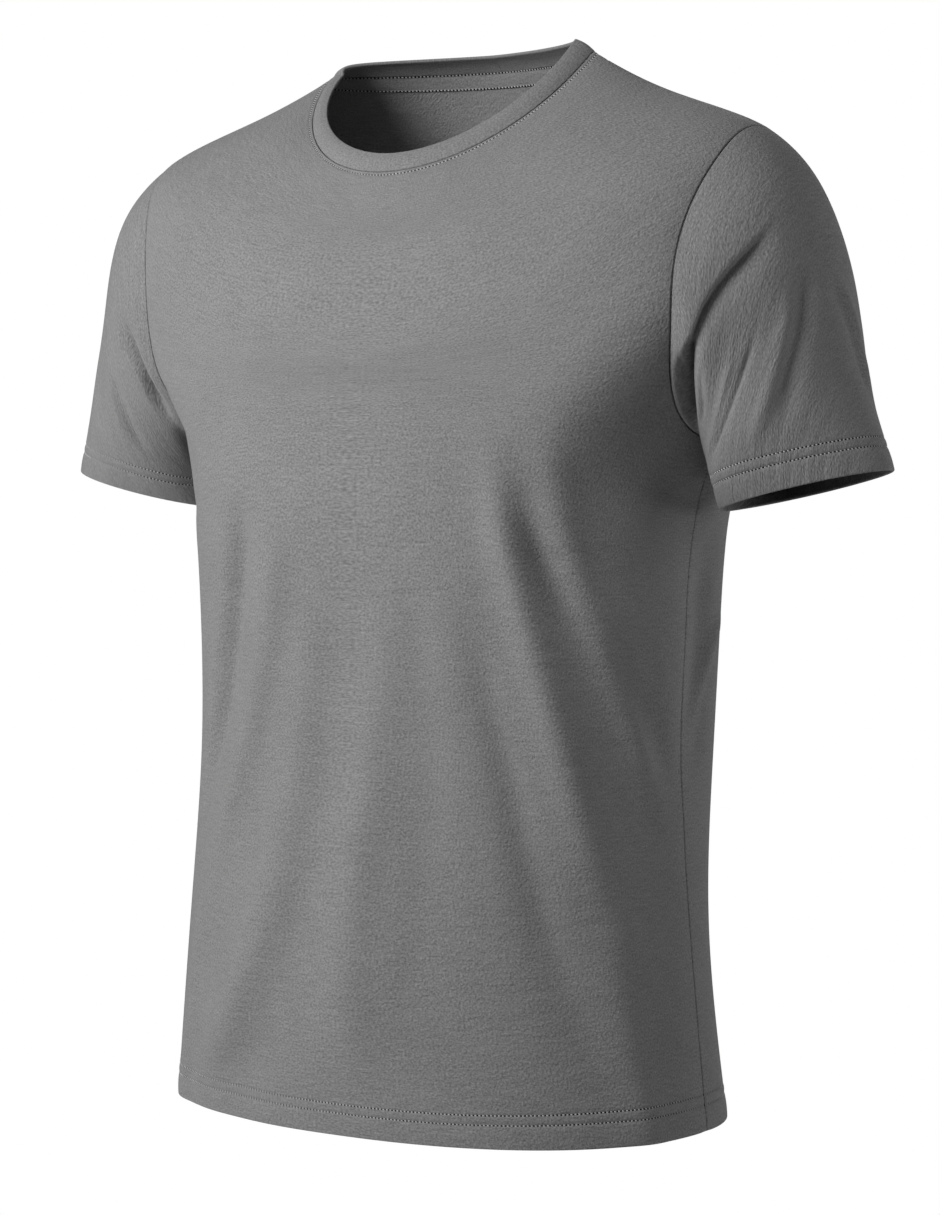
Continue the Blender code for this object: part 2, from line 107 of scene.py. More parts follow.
@dataclass(frozen=True)
class Fold:
    """A soft fold along a bend through its top, middle and foot. Each is in degrees round and a height on the
    body, or a distance down a sleeve. A positive rise stands out, and a negative one is a trough. A positive
    skew steepens its flank on the side of more degrees, and a negative one the other. lap is how far the
    cloth on the side of more degrees slides over it, or that on the other side if it is negative."""

    top_deg: float
    top: float
    middle_deg: float
    middle: float
    foot_deg: float
    foot: float
    top_width: float
    foot_width: float
    rise: float
    skew: float = 0.0
    lap: float = 0.0


# The sizes of the rings and most of the front's folds were found by a fitting program and rounded, and some
# were then changed. The folds of the back and most of those of the sleeves were set one by one.
BODY_RINGS = (
    Ring("hem", -0.7160, -0.7190, -0.7140, 0.2045, 0.1325, 0.1210, -0.0085, 2.30, 2.30),
    Ring("hip", -0.5950, -0.6055, -0.6025, 0.1940, 0.1325, 0.1205, -0.0115, 2.15, 2.15),
    Ring("waist", -0.4730, -0.4700, -0.4695, 0.1835, 0.1250, 0.1350, -0.0045, 2.45, 2.45),
    Ring("ribs", -0.3490, -0.3495, -0.3525, 0.1860, 0.1295, 0.1380, 0.0005, 2.55, 2.55),
    Ring("underarm", -0.2600, -0.2380, -0.2650, 0.2065, 0.1312, 0.1340, 0.0020, 2.60, 2.60),
    Ring("arm", -0.1735, -0.2135, -0.2130, 0.2430, 0.1334, 0.1240, 0.0055, 2.35, 2.35),
    Ring("deltoid", -0.0815, -0.1775, -0.1630, 0.2485, 0.1246, 0.1160, 0.0050, 2.30, 2.30),
    Ring("shoulder", -0.0565, -0.1385, -0.1080, 0.2335, 0.1150, 0.0995, 0.0070, 2.30, 2.30),
    Ring("yoke", -0.0285, -0.1130, -0.0510, 0.1630, 0.1085, 0.0745, 0.0095, 2.05, 2.05),
    Ring("neck", -0.0008, -0.0812, 0.0007, 0.1069, 0.0907, 0.0554, 0.0065, 2.01, 1.61, 1.08, 0.50, 0.0015),
)
BAND_TOP = Ring(
    "band top", 0.0035, -0.0679, 0.0097, 0.0952, 0.0779, 0.0443, 0.0012, 1.92, 1.45, 1.08, 0.31, 0.0058
)

SLEEVE_RINGS = (
    SleeveRing("armhole", 0.2130, 0.0035, -0.1645, 6, 0.0990, 0.0720),
    SleeveRing("cap", 0.2320, 0.0015, -0.1785, 16, 0.0895, 0.0705),
    SleeveRing("middle", 0.2475, 0.0080, -0.2150, 30, 0.0790, 0.0700),
    SleeveRing("lower", 0.2560, 0.0055, -0.2525, 50, 0.0610, 0.0645),
    SleeveRing("cuff", 0.2695, 0.0035, -0.2935, 77, 0.0610, 0.0405),
)

BODY_FOLDS = (
    # Below the chest at the left: two long troughs that run to the hip, and the cloth that stands by them.
    Fold(31, -0.293, 54, -0.391, 81, -0.542, 0.012, 0.023, -0.0085),
    Fold(25, -0.248, 40, -0.397, 67, -0.609, 0.012, 0.018, 0.0090),
    Fold(21, -0.348, 37, -0.505, 60, -0.707, 0.011, 0.014, -0.0031),
    Fold(37, -0.235, 56, -0.390, 87, -0.510, 0.015, 0.019, 0.0077),
    Fold(61, -0.556, 65, -0.657, 73, -0.766, 0.018, 0.016, 0.0040),
    # The edge of the chest, the hollow under the left arm and the left side.
    Fold(32, -0.306, 48, -0.204, 72, -0.157, 0.043, 0.034, 0.0095),
    Fold(51, -0.318, 64, -0.276, 75, -0.216, 0.037, 0.034, -0.0028),
    Fold(113, -0.371, 99, -0.411, 92, -0.481, 0.007, 0.007, 0.0031),
    # Down the front at the right.
    Fold(-17, -0.296, -19, -0.415, -45, -0.589, 0.011, 0.014, 0.0053),
    Fold(-26, -0.294, -31, -0.387, -53, -0.548, 0.011, 0.011, -0.0095),
    Fold(-7, -0.462, -17, -0.589, -44, -0.727, 0.016, 0.020, 0.0084),
    Fold(-2, -0.483, -13, -0.590, -28, -0.775, 0.012, 0.019, -0.0020),
    Fold(-42, -0.540, -47, -0.650, -52, -0.757, 0.016, 0.017, 0.0037),
    # Down the middle of the front.
    Fold(1, -0.341, 3, -0.541, 1, -0.710, 0.010, 0.020, 0.0082),
    Fold(7, -0.354, 11, -0.521, 10, -0.696, 0.013, 0.015, 0.0025),
    Fold(-7, -0.349, -7, -0.432, -10, -0.521, 0.008, 0.009, 0.0014),
    # The right side.
    Fold(-46, -0.305, -60, -0.262, -72, -0.218, 0.029, 0.028, -0.0070),
    Fold(-62, -0.291, -72, -0.400, -88, -0.540, 0.014, 0.020, -0.0040),
    # Shallow waves between them.
    Fold(-11, -0.345, -11, -0.458, -22, -0.577, 0.013, 0.012, 0.0018),
    Fold(-1, -0.340, 1, -0.442, -3, -0.527, 0.009, 0.016, -0.0049),
    Fold(12, -0.333, 12, -0.441, 18, -0.579, 0.011, 0.019, -0.0029),
    Fold(30, -0.443, 41, -0.527, 51, -0.620, 0.011, 0.014, -0.0013),
    Fold(62, -0.370, 75, -0.435, 91, -0.515, 0.014, 0.015, -0.0040),
    Fold(93, -0.312, 95, -0.401, 92, -0.500, 0.014, 0.013, -0.0052),
    Fold(-11, -0.651, -23, -0.661, -37, -0.680, 0.013, 0.015, 0.0011),
    # The back.
    Fold(118, -0.330, 132, -0.450, 140, -0.640, 0.014, 0.018, -0.0045),
    Fold(150, -0.360, 148, -0.520, 155, -0.780, 0.014, 0.016, 0.0030),
    Fold(172, -0.300, 168, -0.480, 174, -0.760, 0.015, 0.017, -0.0035),
    Fold(192, -0.380, 196, -0.540, 190, -0.700, 0.013, 0.015, 0.0028),
    Fold(214, -0.320, 208, -0.500, 204, -0.790, 0.014, 0.018, -0.0040),
    Fold(238, -0.310, 230, -0.430, 222, -0.590, 0.014, 0.016, 0.0030),
    Fold(129, -0.290, 140, -0.240, 152, -0.195, 0.024, 0.022, -0.0035),
    Fold(230, -0.280, 220, -0.235, 209, -0.195, 0.024, 0.022, -0.0035),
)
LEFT_SLEEVE_FOLDS = (
    # Round the front under the shoulder, and the pocket between the armhole seam and the sleeve's front edge.
    Fold(36, 0.070, 80, 0.052, 134, 0.020, 0.009, 0.009, -0.0065, -0.6, -0.006),
    Fold(104, 0.032, 134, 0.040, 172, 0.052, 0.010, 0.013, -0.0330, 0.5, -0.018),
    Fold(112, 0.026, 134, 0.030, 166, 0.038, 0.008, 0.012, -0.0160),
    Fold(111, 0.058, 118, 0.078, 128, 0.096, 0.005, 0.005, -0.0020),
    # Down to the cuff, from the front to the top.
    Fold(84, 0.095, 106, 0.125, 146, 0.158, 0.006, 0.006, 0.0018),
    Fold(62, 0.104, 92, 0.138, 130, 0.166, 0.005, 0.005, -0.0026, 0.0, -0.003),
    Fold(40, 0.104, 58, 0.150, 96, 0.202, 0.008, 0.009, 0.0030),
    Fold(24, 0.100, 44, 0.140, 70, 0.205, 0.008, 0.011, -0.0048),
    Fold(16, 0.112, -3, 0.150, -14, 0.205, 0.005, 0.005, -0.0020),
    Fold(6, 0.112, -12, 0.150, -24, 0.205, 0.006, 0.006, 0.0020),
    # Behind.
    Fold(240, 0.050, 272, 0.064, 305, 0.072, 0.009, 0.009, -0.0050),
    Fold(250, 0.110, 268, 0.135, 296, 0.168, 0.009, 0.009, -0.0030),
)
RIGHT_SLEEVE_FOLDS = (
    Fold(80, 0.070, 110, 0.045, 148, 0.048, 0.008, 0.012, -0.0092),
    Fold(74, 0.046, 94, 0.029, 108, 0.010, 0.004, 0.004, 0.0009),
    Fold(80, 0.116, 100, 0.130, 120, 0.168, 0.010, 0.010, -0.0030),
    Fold(57, 0.122, 65, 0.148, 76, 0.188, 0.010, 0.010, -0.0020),
    Fold(238, 0.046, 270, 0.062, 306, 0.070, 0.009, 0.009, -0.0050),
    Fold(256, 0.116, 276, 0.138, 300, 0.166, 0.009, 0.009, -0.0028),
)


def natural_spline(stations: np.ndarray, values: np.ndarray, at: np.ndarray) -> np.ndarray:
    """The natural cubic spline through values at stations.

    Args:
        stations: where the values are, rising.
        values: the values to pass through.
        at: the places to read.

    Returns:
        The spline's value at each place.
    """
    count, gaps = len(stations), np.diff(stations)
    slopes = np.diff(values) / gaps
    system, wanted = np.eye(count), np.zeros(count)
    for k in range(1, count - 1):
        system[k, k - 1 : k + 2] = gaps[k - 1], 2 * (gaps[k - 1] + gaps[k]), gaps[k]
        wanted[k] = 6 * (slopes[k] - slopes[k - 1])
    bends = np.linalg.solve(system, wanted)
    k = np.clip(np.searchsorted(stations, at) - 1, 0, count - 2)
    gap, before, after = gaps[k], at - stations[k], stations[k + 1] - at
    return (
        (bends[k] * after**3 + bends[k + 1] * before**3) / (6 * gap)
        + (values[k] / gap - bends[k] * gap / 6) * after
        + (values[k + 1] / gap - bends[k + 1] * gap / 6) * before
    )


def column(rings: Sequence, name: str) -> np.ndarray:
    """One size of every ring, in order."""
    return np.array([getattr(ring, name) for ring in rings], float)


def sizes_of(ring: Ring | SleeveRing) -> dict[str, float]:
    """A ring's sizes by name."""
    return {key: value for key, value in vars(ring).items() if key != "name"}


def run_along(*lines: np.ndarray) -> np.ndarray:
    """Distance along a bundle of lines at each of their points, averaged over the bundle.

    Args:
        lines: lines with as many points each.

    Returns:
        The distance at each point, from 0.
    """
    steps = np.mean([np.linalg.norm(np.diff(line, axis=0), axis=1) for line in lines], axis=0)
    return np.concatenate([[0.0], np.cumsum(steps)])


def power(value: np.ndarray, exponent: float | np.ndarray) -> np.ndarray:
    """The value raised to the exponent, with its sign kept."""
    return np.sign(value) * np.abs(value) ** exponent


def smooth_step(share: np.ndarray) -> np.ndarray:
    """0 below 0, 1 above 1, and an even bend between."""
    share = np.clip(share, 0, 1)
    return share**2 * (3 - 2 * share)


def unit(vectors: np.ndarray) -> np.ndarray:
    """The vectors at length 1."""
    return vectors / np.linalg.norm(vectors, axis=-1, keepdims=True)


def ring_points(angle: np.ndarray, sizes: dict[str, np.ndarray | float]) -> np.ndarray:
    """Points of a ring of the body.

    Args:
        angle: radians round from the centre front.
        sizes: the ring's sizes by name.

    Returns:
        A point for each angle.
    """
    before = np.cos(angle) > 0
    bend = 2 / np.where(before, sizes["squareness"], sizes["back_squareness"])
    late = np.abs(np.cos(angle)) ** np.where(before, sizes["fall"], sizes["back_fall"])
    depth = np.where(before, sizes["front_depth"], sizes["back_depth"])
    end_z = np.where(before, sizes["front_z"], sizes["back_z"])
    ahead, aside = power(np.cos(angle), bend), power(np.sin(angle), bend)
    across = sizes["half_width"] * aside
    side_z = sizes["side_z"] + sizes["roll"] * aside
    height = side_z + (end_z - side_z) * late
    return np.stack(np.broadcast_arrays(across, sizes["centre_y"] - depth * ahead, height), axis=-1)


def slope_normals(
    surface: Callable[[np.ndarray, np.ndarray], np.ndarray], first: np.ndarray, second: np.ndarray
) -> np.ndarray:
    """Unit normals of a surface.

    Args:
        surface: gives points for two coordinates.
        first: the first coordinate.
        second: the second coordinate.

    Returns:
        The normals, along first x second.
    """
    nudge = 1e-3
    along_first = surface(first + nudge, second) - surface(first - nudge, second)
    along_second = surface(first, second + nudge) - surface(first, second - nudge)
    return unit(np.cross(along_first, along_second))


@dataclass(frozen=True)
class Drape:
    """The folds of one piece of cloth, and how they lie on it."""

    folds: tuple[Fold, ...]
    radius: float  # turns degrees round the piece into metres of cloth
    steps: int = 14  # straight pieces of a fold's bend
    ends: float = 0.3  # share of a fold over which it rises at its top and dies away at its foot

    def line(self, fold: Fold) -> np.ndarray:
        """A fold's bend.

        Args:
            fold: the fold.

        Returns:
            Points in metres of cloth across and down.
        """
        share = np.linspace(0, 1, self.steps + 1)
        past = 1 - share
        weights = np.stack([past * (past - share), 4 * share * past, share * (share - past)], axis=1)
        across = self.radius * np.radians([fold.top_deg, fold.middle_deg, fold.foot_deg])
        return weights @ np.stack([across, [fold.top, fold.middle, fold.foot]], axis=1)

    def lie(self, degrees: np.ndarray, down: np.ndarray) -> np.ndarray:
        """How the folds move the cloth.

        Args:
            degrees: degrees round the piece.
            down: height on the body, or distance down a sleeve.

        Returns:
            At each place, how far the cloth goes out, and how far it slides across and along.
        """
        out, slid_across, slid_down = np.zeros((3, *degrees.shape))
        for fold in self.folds:
            line = self.line(fold)
            middle = (fold.top_deg + fold.foot_deg) / 2
            across = self.radius * np.radians(middle + (degrees - middle + 180) % 360 - 180)
            nearest = np.full(degrees.shape, np.inf)
            place, aside, more_across, more_down = np.zeros((4, *degrees.shape))
            for step, (start, end) in enumerate(zip(line[:-1], line[1:])):
                run = end - start
                more = np.array([abs(run[1]), -run[0] * np.sign(run[1])]) / np.hypot(*run)
                off_across, off_down = across - start[0], down - start[1]
                share = np.clip((off_across * run[0] + off_down * run[1]) / (run @ run), 0, 1)
                off_across, off_down = off_across - share * run[0], off_down - share * run[1]
                distance = np.hypot(off_across, off_down)
                closer = distance < nearest
                place = np.where(closer, (step + share) / self.steps, place)
                aside = np.where(closer, np.sign(off_across * more[0] + off_down * more[1]), aside)
                more_across = np.where(closer, more[0], more_across)
                more_down = np.where(closer, more[1], more_down)
                nearest = np.minimum(nearest, distance)
            width = fold.top_width + (fold.foot_width - fold.top_width) * place
            strength = smooth_step(place / self.ends) * smooth_step((1 - place) / self.ends)
            out += fold.rise * strength * np.exp(-((nearest / (width * (1 - fold.skew * aside))) ** 2))
            if fold.lap:
                slid = fold.lap * strength * np.exp(-((np.sign(fold.lap) * aside * nearest / width - 1) ** 2))
                slid_across -= slid * more_across
                slid_down -= slid * more_down
        return np.stack([out, slid_across, slid_down])


@dataclass(frozen=True)
class Form:
    """A smooth form through rings, with cloth draped on it."""

    rings: tuple[Ring, ...] | tuple[SleeveRing, ...]
    drape: Drape

    def ring_lines(self) -> tuple[np.ndarray, ...]:
        """The lines through the rings along which the cloth is measured."""
        raise NotImplementedError

    @cached_property
    def reached(self) -> np.ndarray:
        """Cloth from the first ring to each of them."""
        return run_along(*self.ring_lines())

    @property
    def length(self) -> float:
        """Cloth from the first ring to the last."""
        return self.reached[-1]

    def sizes_at(self, share: np.ndarray) -> dict[str, np.ndarray]:
        """The rings' sizes by name, at shares of the length."""
        shares, names = self.reached / self.length, sizes_of(self.rings[0])
        return {name: natural_spline(shares, column(self.rings, name), share) for name in names}


@dataclass(frozen=True)
class BodyForm(Form):
    """The body of the shirt as one smooth form, from the hem at station 0 to the neck seam at station 1."""

    armhole_front_deg: float = 34.0
    armhole_back_deg: float = 32.0

    def ring_lines(self) -> tuple[np.ndarray, ...]:
        """The lines up the side and up the front.

        Returns:
            Both lines, with a point for each ring.
        """
        side = np.stack([column(self.rings, "half_width"), column(self.rings, "side_z")], axis=1)
        front = np.stack([column(self.rings, "front_depth"), column(self.rings, "front_z")], axis=1)
        return side, front

    def station_of(self, name: str) -> float:
        """The station of a named ring."""
        return self.reached[[ring.name for ring in self.rings].index(name)] / self.length

    def bare(self, angle: np.ndarray, station: np.ndarray) -> np.ndarray:
        """The form without its folds, at radians round from the centre front and at stations."""
        return ring_points(angle, self.sizes_at(station))

    def surface(self, angle: np.ndarray, station: np.ndarray) -> np.ndarray:
        """The outer face of the cloth, folds and all.

        Args:
            angle: radians round from the centre front.
            station: the station.

        Returns:
            A point for each of them.
        """
        out, across, up = self.drape.lie(np.degrees(angle), self.bare(angle, station)[..., 2])
        angle, station = angle + across / self.drape.radius, station + up / self.length
        return self.bare(angle, station) + out[..., None] * slope_normals(self.bare, angle, station)

    def armhole(self, turn: np.ndarray, side: Side) -> tuple[np.ndarray, np.ndarray]:
        """Where an armhole runs.

        Args:
            turn: radians from the armhole's top, by way of its front.
            side: the wearer's side.

        Returns:
            The angle and the station at each turn.
        """
        cut = np.where(np.sin(turn) > 0, self.armhole_front_deg, self.armhole_back_deg)
        low, high = self.station_of("underarm"), self.station_of("shoulder")
        angle = side.value * np.radians(90 - cut * np.sin(turn))
        return angle, (low + high) / 2 + (high - low) / 2 * np.cos(turn)


@dataclass(frozen=True)
class SleeveForm(Form):
    """A sleeve as a tube, from its armhole at share 0 to its cuff at share 1."""

    body: BodyForm
    side: Side
    settle: float = 0.55  # share over which the armhole's shape fades into the rings
    calm: float = 0.08  # share over which its folds begin

    def ring_lines(self) -> tuple[np.ndarray, ...]:
        """The line along the sleeve's top.

        Returns:
            That line alone, with a point for each ring.
        """
        lean = np.radians(column(self.rings, "lean_deg"))
        middle = np.stack([column(self.rings, "x"), column(self.rings, "z")], axis=1)
        top = np.stack([np.sin(lean), np.cos(lean)], axis=1) * column(self.rings, "long")[:, None]
        return (middle + top,)

    def tube(self, turn: np.ndarray, share: np.ndarray) -> np.ndarray:
        """The tube made from the rings alone.

        Args:
            turn: radians from the sleeve's top by way of its front.
            share: the share of its length.

        Returns:
            A point for each of them.
        """
        size = self.sizes_at(share)
        lean, out = np.radians(size["lean_deg"]), size["long"] * np.cos(turn)
        across = self.side.value * (size["x"] + out * np.sin(lean))
        ahead, height = size["y"] - size["deep"] * np.sin(turn), size["z"] + out * np.cos(lean)
        return np.stack(np.broadcast_arrays(across, ahead, height), axis=-1)

    @cached_property
    def lifts(self) -> tuple[np.ndarray, np.ndarray]:
        """How far the armhole lies from the tube's start.

        Returns:
            Turns all round, and the way from the tube to the armhole at each.
        """
        turn = np.linspace(0, 2 * math.pi, 721)
        seam = self.body.surface(*self.body.armhole(turn, self.side))
        return turn, seam - self.tube(turn, np.zeros_like(turn))

    def bare(self, turn: np.ndarray, share: np.ndarray) -> np.ndarray:
        """The sleeve without its folds.

        Args:
            turn: radians from the sleeve's top by way of its front.
            share: the share of its length.

        Returns:
            A point for each of them.
        """
        turns, lifts = self.lifts
        lift = np.stack([np.interp(turn, turns, values, period=2 * math.pi) for values in lifts.T], axis=-1)
        return self.tube(turn, share) + lift * smooth_step(1 - share / self.settle)[..., None]

    def surface(self, turn: np.ndarray, share: np.ndarray) -> np.ndarray:
        """The outer face of the cloth, folds and all.

        Args:
            turn: radians from the sleeve's top by way of its front.
            share: the share of its length.

        Returns:
            A point for each of them.
        """
        moved = self.drape.lie(np.degrees(turn), share * self.length)
        out, across, down = moved * smooth_step(share / self.calm)
        turn, share = turn + across / self.drape.radius, share + down / self.length
        normals = self.side.value * slope_normals(self.bare, turn, share)
        return self.bare(turn, share) + out[..., None] * normals


def grid_normals(grid: np.ndarray, wraps: bool) -> np.ndarray:
    """Unit normals of a grid of points.

    Args:
        grid: points by row and column.
        wraps: whether the last column comes before the first.

    Returns:
        The normals, along columns x rows.
    """
    if wraps:
        across = np.roll(grid, -1, axis=1) - np.roll(grid, 1, axis=1)
    else:
        across = np.gradient(grid, axis=1)
    return unit(np.cross(across, np.gradient(grid, axis=0)))


def ladder(length: float, coarse: float, start: Sequence[float], end: Sequence[float]) -> np.ndarray:
    """Places along a length, close together at its ends.

    Args:
        length: the whole length.
        coarse: about how far apart the places are in the middle.
        start: the places from the start, from 0.
        end: the places back from the end, from 0.

    Returns:
        The places, from 0 to the length.
    """
    tail = length - np.array(end)[::-1]
    count = max(2, round((tail[0] - start[-1]) / coarse) + 1)
    return np.concatenate([start[:-1], np.linspace(start[-1], tail[0], count), tail[1:]])


def round_faces(rows: int, columns: int) -> np.ndarray:
    """Faces between rows of points that each close into a ring.

    Args:
        rows: how many rows there are.
        columns: how many points are in a row.

    Returns:
        The faces, as rows of point numbers.
    """
    index = np.arange(rows * columns).reshape(rows, columns)
    after = np.roll(index, -1, axis=1)
    return np.stack([index[:-1], after[:-1], after[1:], index[1:]], axis=-1).reshape(-1, 4)


def nearest_on(line: np.ndarray, points: np.ndarray) -> np.ndarray:
    """Distance from each point to a line.

    Args:
        line: the line's points, close together.
        points: the points, in any shape.

    Returns:
        The distance at each point, in that shape.
    """
    tree = kdtree.KDTree(len(line))
    for index, place in enumerate(line):
        tree.insert(place, index)
    tree.balance()
    flat = points.reshape(-1, 3)
    return np.array([tree.find(point)[2] for point in flat]).reshape(points.shape[:-1])


def densely(line: np.ndarray, apart: float) -> np.ndarray:
    """A line's points again, evenly spaced along it.

    Args:
        line: points, or points with more numbers after them.
        apart: about how far apart the new points are.

    Returns:
        The new points, with their other numbers.
    """
    reached = run_along(line[:, :3])
    places = np.linspace(0, reached[-1], max(2, round(reached[-1] / apart) + 1))
    return np.stack([np.interp(places, reached, values) for values in line.T], axis=1)


# --- Finishes ---


def linear(code: str) -> tuple[float, float, float, float]:
    """An sRGB hex colour, such as 7a7a7a, as linear red, green, blue and alpha."""
    parts = [int(code[k : k + 2], 16) / 255 for k in (0, 2, 4)]
    return (*(p / 12.92 if p <= 0.04045 else ((p + 0.055) / 1.055) ** 2.4 for p in parts), 1.0)


def add_node(
    tree: bpy.types.NodeTree, kind: str, inputs: dict | None = None, **settings: object
) -> bpy.types.Node:
    """Adds a node.

    Args:
        tree: the node tree.
        kind: the node's type.
        inputs: values, or the sockets to link, by input name or number.
        settings: the node's own properties.

    Returns:
        The node.
    """
    node = tree.nodes.new(kind)
    for name, value in settings.items():
        setattr(node, name, value)
    for name, value in (inputs or {}).items():
        if isinstance(value, bpy.types.NodeSocket):
            tree.links.new(value, node.inputs[name])
        else:
            node.inputs[name].default_value = value
    return node


def fresh_material(
    name: str, constants: dict[str, object]
) -> tuple[bpy.types.Material, bpy.types.NodeTree, bpy.types.Node]:
    """Makes a material of one Principled shader.

    Args:
        name: the material's name.
        constants: values of the shader's own sockets, by name.

    Returns:
        The material, its node tree and its shader.
    """
    material = bpy.data.materials.new(name)
    material.use_nodes = True
    shader = material.node_tree.nodes["Principled BSDF"]
    for socket, value in constants.items():
        shader.inputs[socket].default_value = value
    return material, material.node_tree, shader


@dataclass(frozen=True)
class CombedJersey:
    """Combed cotton, knitted as a fine single jersey, dyed in the piece and washed soft. It is matt, with a
    short fuzz, a grain of uneven yarn and courses that ripple a little."""

    name: str = "combed cotton jersey"
    yarn_light: str = "959595"
    yarn_dark: str = "646464"
    grain_mm: float = 1.25  # yarn specks are under 1 mm, drawn coarser
    wave_mm: tuple[float, float] = (11.0, 1.9)  # the courses ripple, longer across than along
    wave_share: float = 0.30  # how much the courses lighten and darken the yarn, beside the grain
    cloud_mm: float = 45.0  # uneven take-up of the dye
    cloud_share: float = 0.12
    contrast: float = 0.26  # half of the noise's range, which takes the yarn from dark to light
    pill_mm: float = 2.3  # the surface stands up and lies down in small tufts
    crumple_mm: tuple[float, float] = (52.0, 12.0)  # the last shallow creases of folding and wear
    crumple_depth_mm: float = 1.0
    knit_depth_mm: float = 0.80
    knit_waves: float = 0.3  # how much the courses stand up, beside the tufts
    roughness: float = 0.92
    fuzz: float = 0.12

    def build(self) -> bpy.types.Material:
        """The material, on the cloth's own coordinates in metres across and along.

        Returns:
            The material.
        """
        constants = {"Roughness": self.roughness, "IOR": 1.45, "Specular IOR Level": 0.2}
        constants |= {"Sheen Weight": self.fuzz, "Sheen Roughness": 0.6}
        material, tree, shader = fresh_material(self.name, constants)
        cloth = add_node(tree, "ShaderNodeAttribute", attribute_name="cloth").outputs["Vector"]
        to_mm = add_node(tree, "ShaderNodeVectorMath", {0: cloth, "Scale": 1 / MM}, operation="SCALE")
        mm = to_mm.outputs["Vector"]
        stretched = []
        for (wide, tall), turn in ((self.wave_mm, 0.12), (self.crumple_mm, 0.2)):
            inputs = {"Vector": mm, "Scale": (1 / wide, 1 / tall, 1), "Rotation": (0, 0, turn)}
            stretched.append(add_node(tree, "ShaderNodeMapping", inputs).outputs["Vector"])
        noises = []
        for place, scale, detail in (
            (mm, 1 / self.grain_mm, 2.0),
            (stretched[0], 1.0, 2.0),
            (mm, 1 / self.cloud_mm, 3.0),
            (mm, 1 / self.pill_mm, 2.0),
            (stretched[1], 1.0, 1.0),
        ):
            inputs = {"Vector": place, "Scale": scale, "Detail": detail, "Roughness": 0.55}
            noises.append(add_node(tree, "ShaderNodeTexNoise", inputs).outputs["Fac"])
        yarn, waves, cloud, tufts, crumples = noises
        middle = (1 + self.wave_share + self.cloud_share) / 2
        for fleck, share in ((waves, self.wave_share), (cloud, self.cloud_share)):
            inputs = {0: fleck, 1: share, 2: yarn}
            yarn = add_node(tree, "ShaderNodeMath", inputs, operation="MULTIPLY_ADD").outputs[0]
        inputs = {"Value": yarn, "From Min": middle - self.contrast, "From Max": middle + self.contrast}
        light = add_node(tree, "ShaderNodeMapRange", inputs).outputs["Result"]
        inputs = {"Factor": light, "A": linear(self.yarn_dark), "B": linear(self.yarn_light)}
        colour = add_node(tree, "ShaderNodeMix", inputs, data_type="RGBA").outputs["Result"]
        tree.links.new(colour, shader.inputs["Base Color"])
        inputs = {0: waves, 1: self.knit_waves, 2: tufts}
        knit = add_node(tree, "ShaderNodeMath", inputs, operation="MULTIPLY_ADD").outputs[0]
        relief = {"Strength": 1.0}
        for height, depth_mm in ((crumples, self.crumple_depth_mm), (knit, self.knit_depth_mm)):
            relief |= {"Height": height, "Distance": depth_mm * MM}
            relief["Normal"] = add_node(tree, "ShaderNodeBump", relief).outputs["Normal"]
        tree.links.new(relief["Normal"], shader.inputs["Normal"])
        return material


@dataclass(frozen=True)
class SewingThread:
    """Spun polyester sewing thread, in the colour of the cloth. It is a little smoother than the jersey, and
    its colour is set much lighter than the cloth's as a painted highlight for its sheen, so that a row of it
    reads as small bright beads."""

    name: str = "spun polyester thread"
    # painted highlight: much lighter than the jersey's yarn, for the sheen on the thread
    colour: str = "cccccc"
    ply_mm: float = 0.4
    roughness: float = 0.6

    def build(self) -> bpy.types.Material:
        """The material, with its twist as a fine grain.

        Returns:
            The material.
        """
        constants = {"Base Color": linear(self.colour), "Roughness": self.roughness}
        material, tree, shader = fresh_material(self.name, constants)
        place = add_node(tree, "ShaderNodeTexCoord").outputs["Object"]
        inputs = {"Vector": place, "Scale": 1 / (self.ply_mm * MM), "Detail": 1.0}
        twist = add_node(tree, "ShaderNodeTexNoise", inputs).outputs["Fac"]
        bump = add_node(tree, "ShaderNodeBump", {"Height": twist, "Strength": 0.5, "Distance": 0.1 * MM})
        tree.links.new(bump.outputs["Normal"], shader.inputs["Normal"])
        return material


@dataclass(frozen=True)
class NeedleHoleShade:
    """Painted shade: a near-black colour for the pit that the needle leaves in the jersey between two
    stitches, where no light comes back out.
    """

    name: str = "painted shade in needle hole"
    # painted shade: near black, for the shade inside the needle hole
    colour: str = "0e0e0e"

    def build(self) -> bpy.types.Material:
        """The material of the painted shade."""
        constants = {"Base Color": linear(self.colour), "Roughness": 1.0, "Specular IOR Level": 0.0}
        return fresh_material(self.name, constants)[0]


@dataclass(frozen=True)
class StudioPaper:
    """Matt white background paper, laid as a floor. It keeps the light even and shows no grain."""

    name: str = "matt white background paper"
    colour: str = "f4f4f4"

    def build(self) -> bpy.types.Material:
        """The material."""
        constants = {"Base Color": linear(self.colour), "Roughness": 0.95, "Specular IOR Level": 0.1}
        return fresh_material(self.name, constants)[0]


@dataclass
class Finishes:
    """The finishes of the shirt and of the studio, each made once."""

    jersey: bpy.types.Material = field(default_factory=CombedJersey().build)
    rib: bpy.types.Material = field(
        default_factory=CombedJersey("cotton and elastane rib", knit_depth_mm=0.25, wave_mm=(1.4, 9.0)).build
    )
    tape: bpy.types.Material = field(
        default_factory=CombedJersey("folded cotton jersey tape", knit_depth_mm=0.2).build
    )
    thread: bpy.types.Material = field(default_factory=SewingThread().build)
    # the painted shade of the needle holes
    hole: bpy.types.Material = field(default_factory=NeedleHoleShade().build)
    paper: bpy.types.Material = field(default_factory=StudioPaper().build)


# --- Sewing ---


def in_metres(*distances_mm: float) -> tuple[float, ...]:
    """Distances in millimetres, as metres."""
    return tuple(MM * distance for distance in distances_mm)


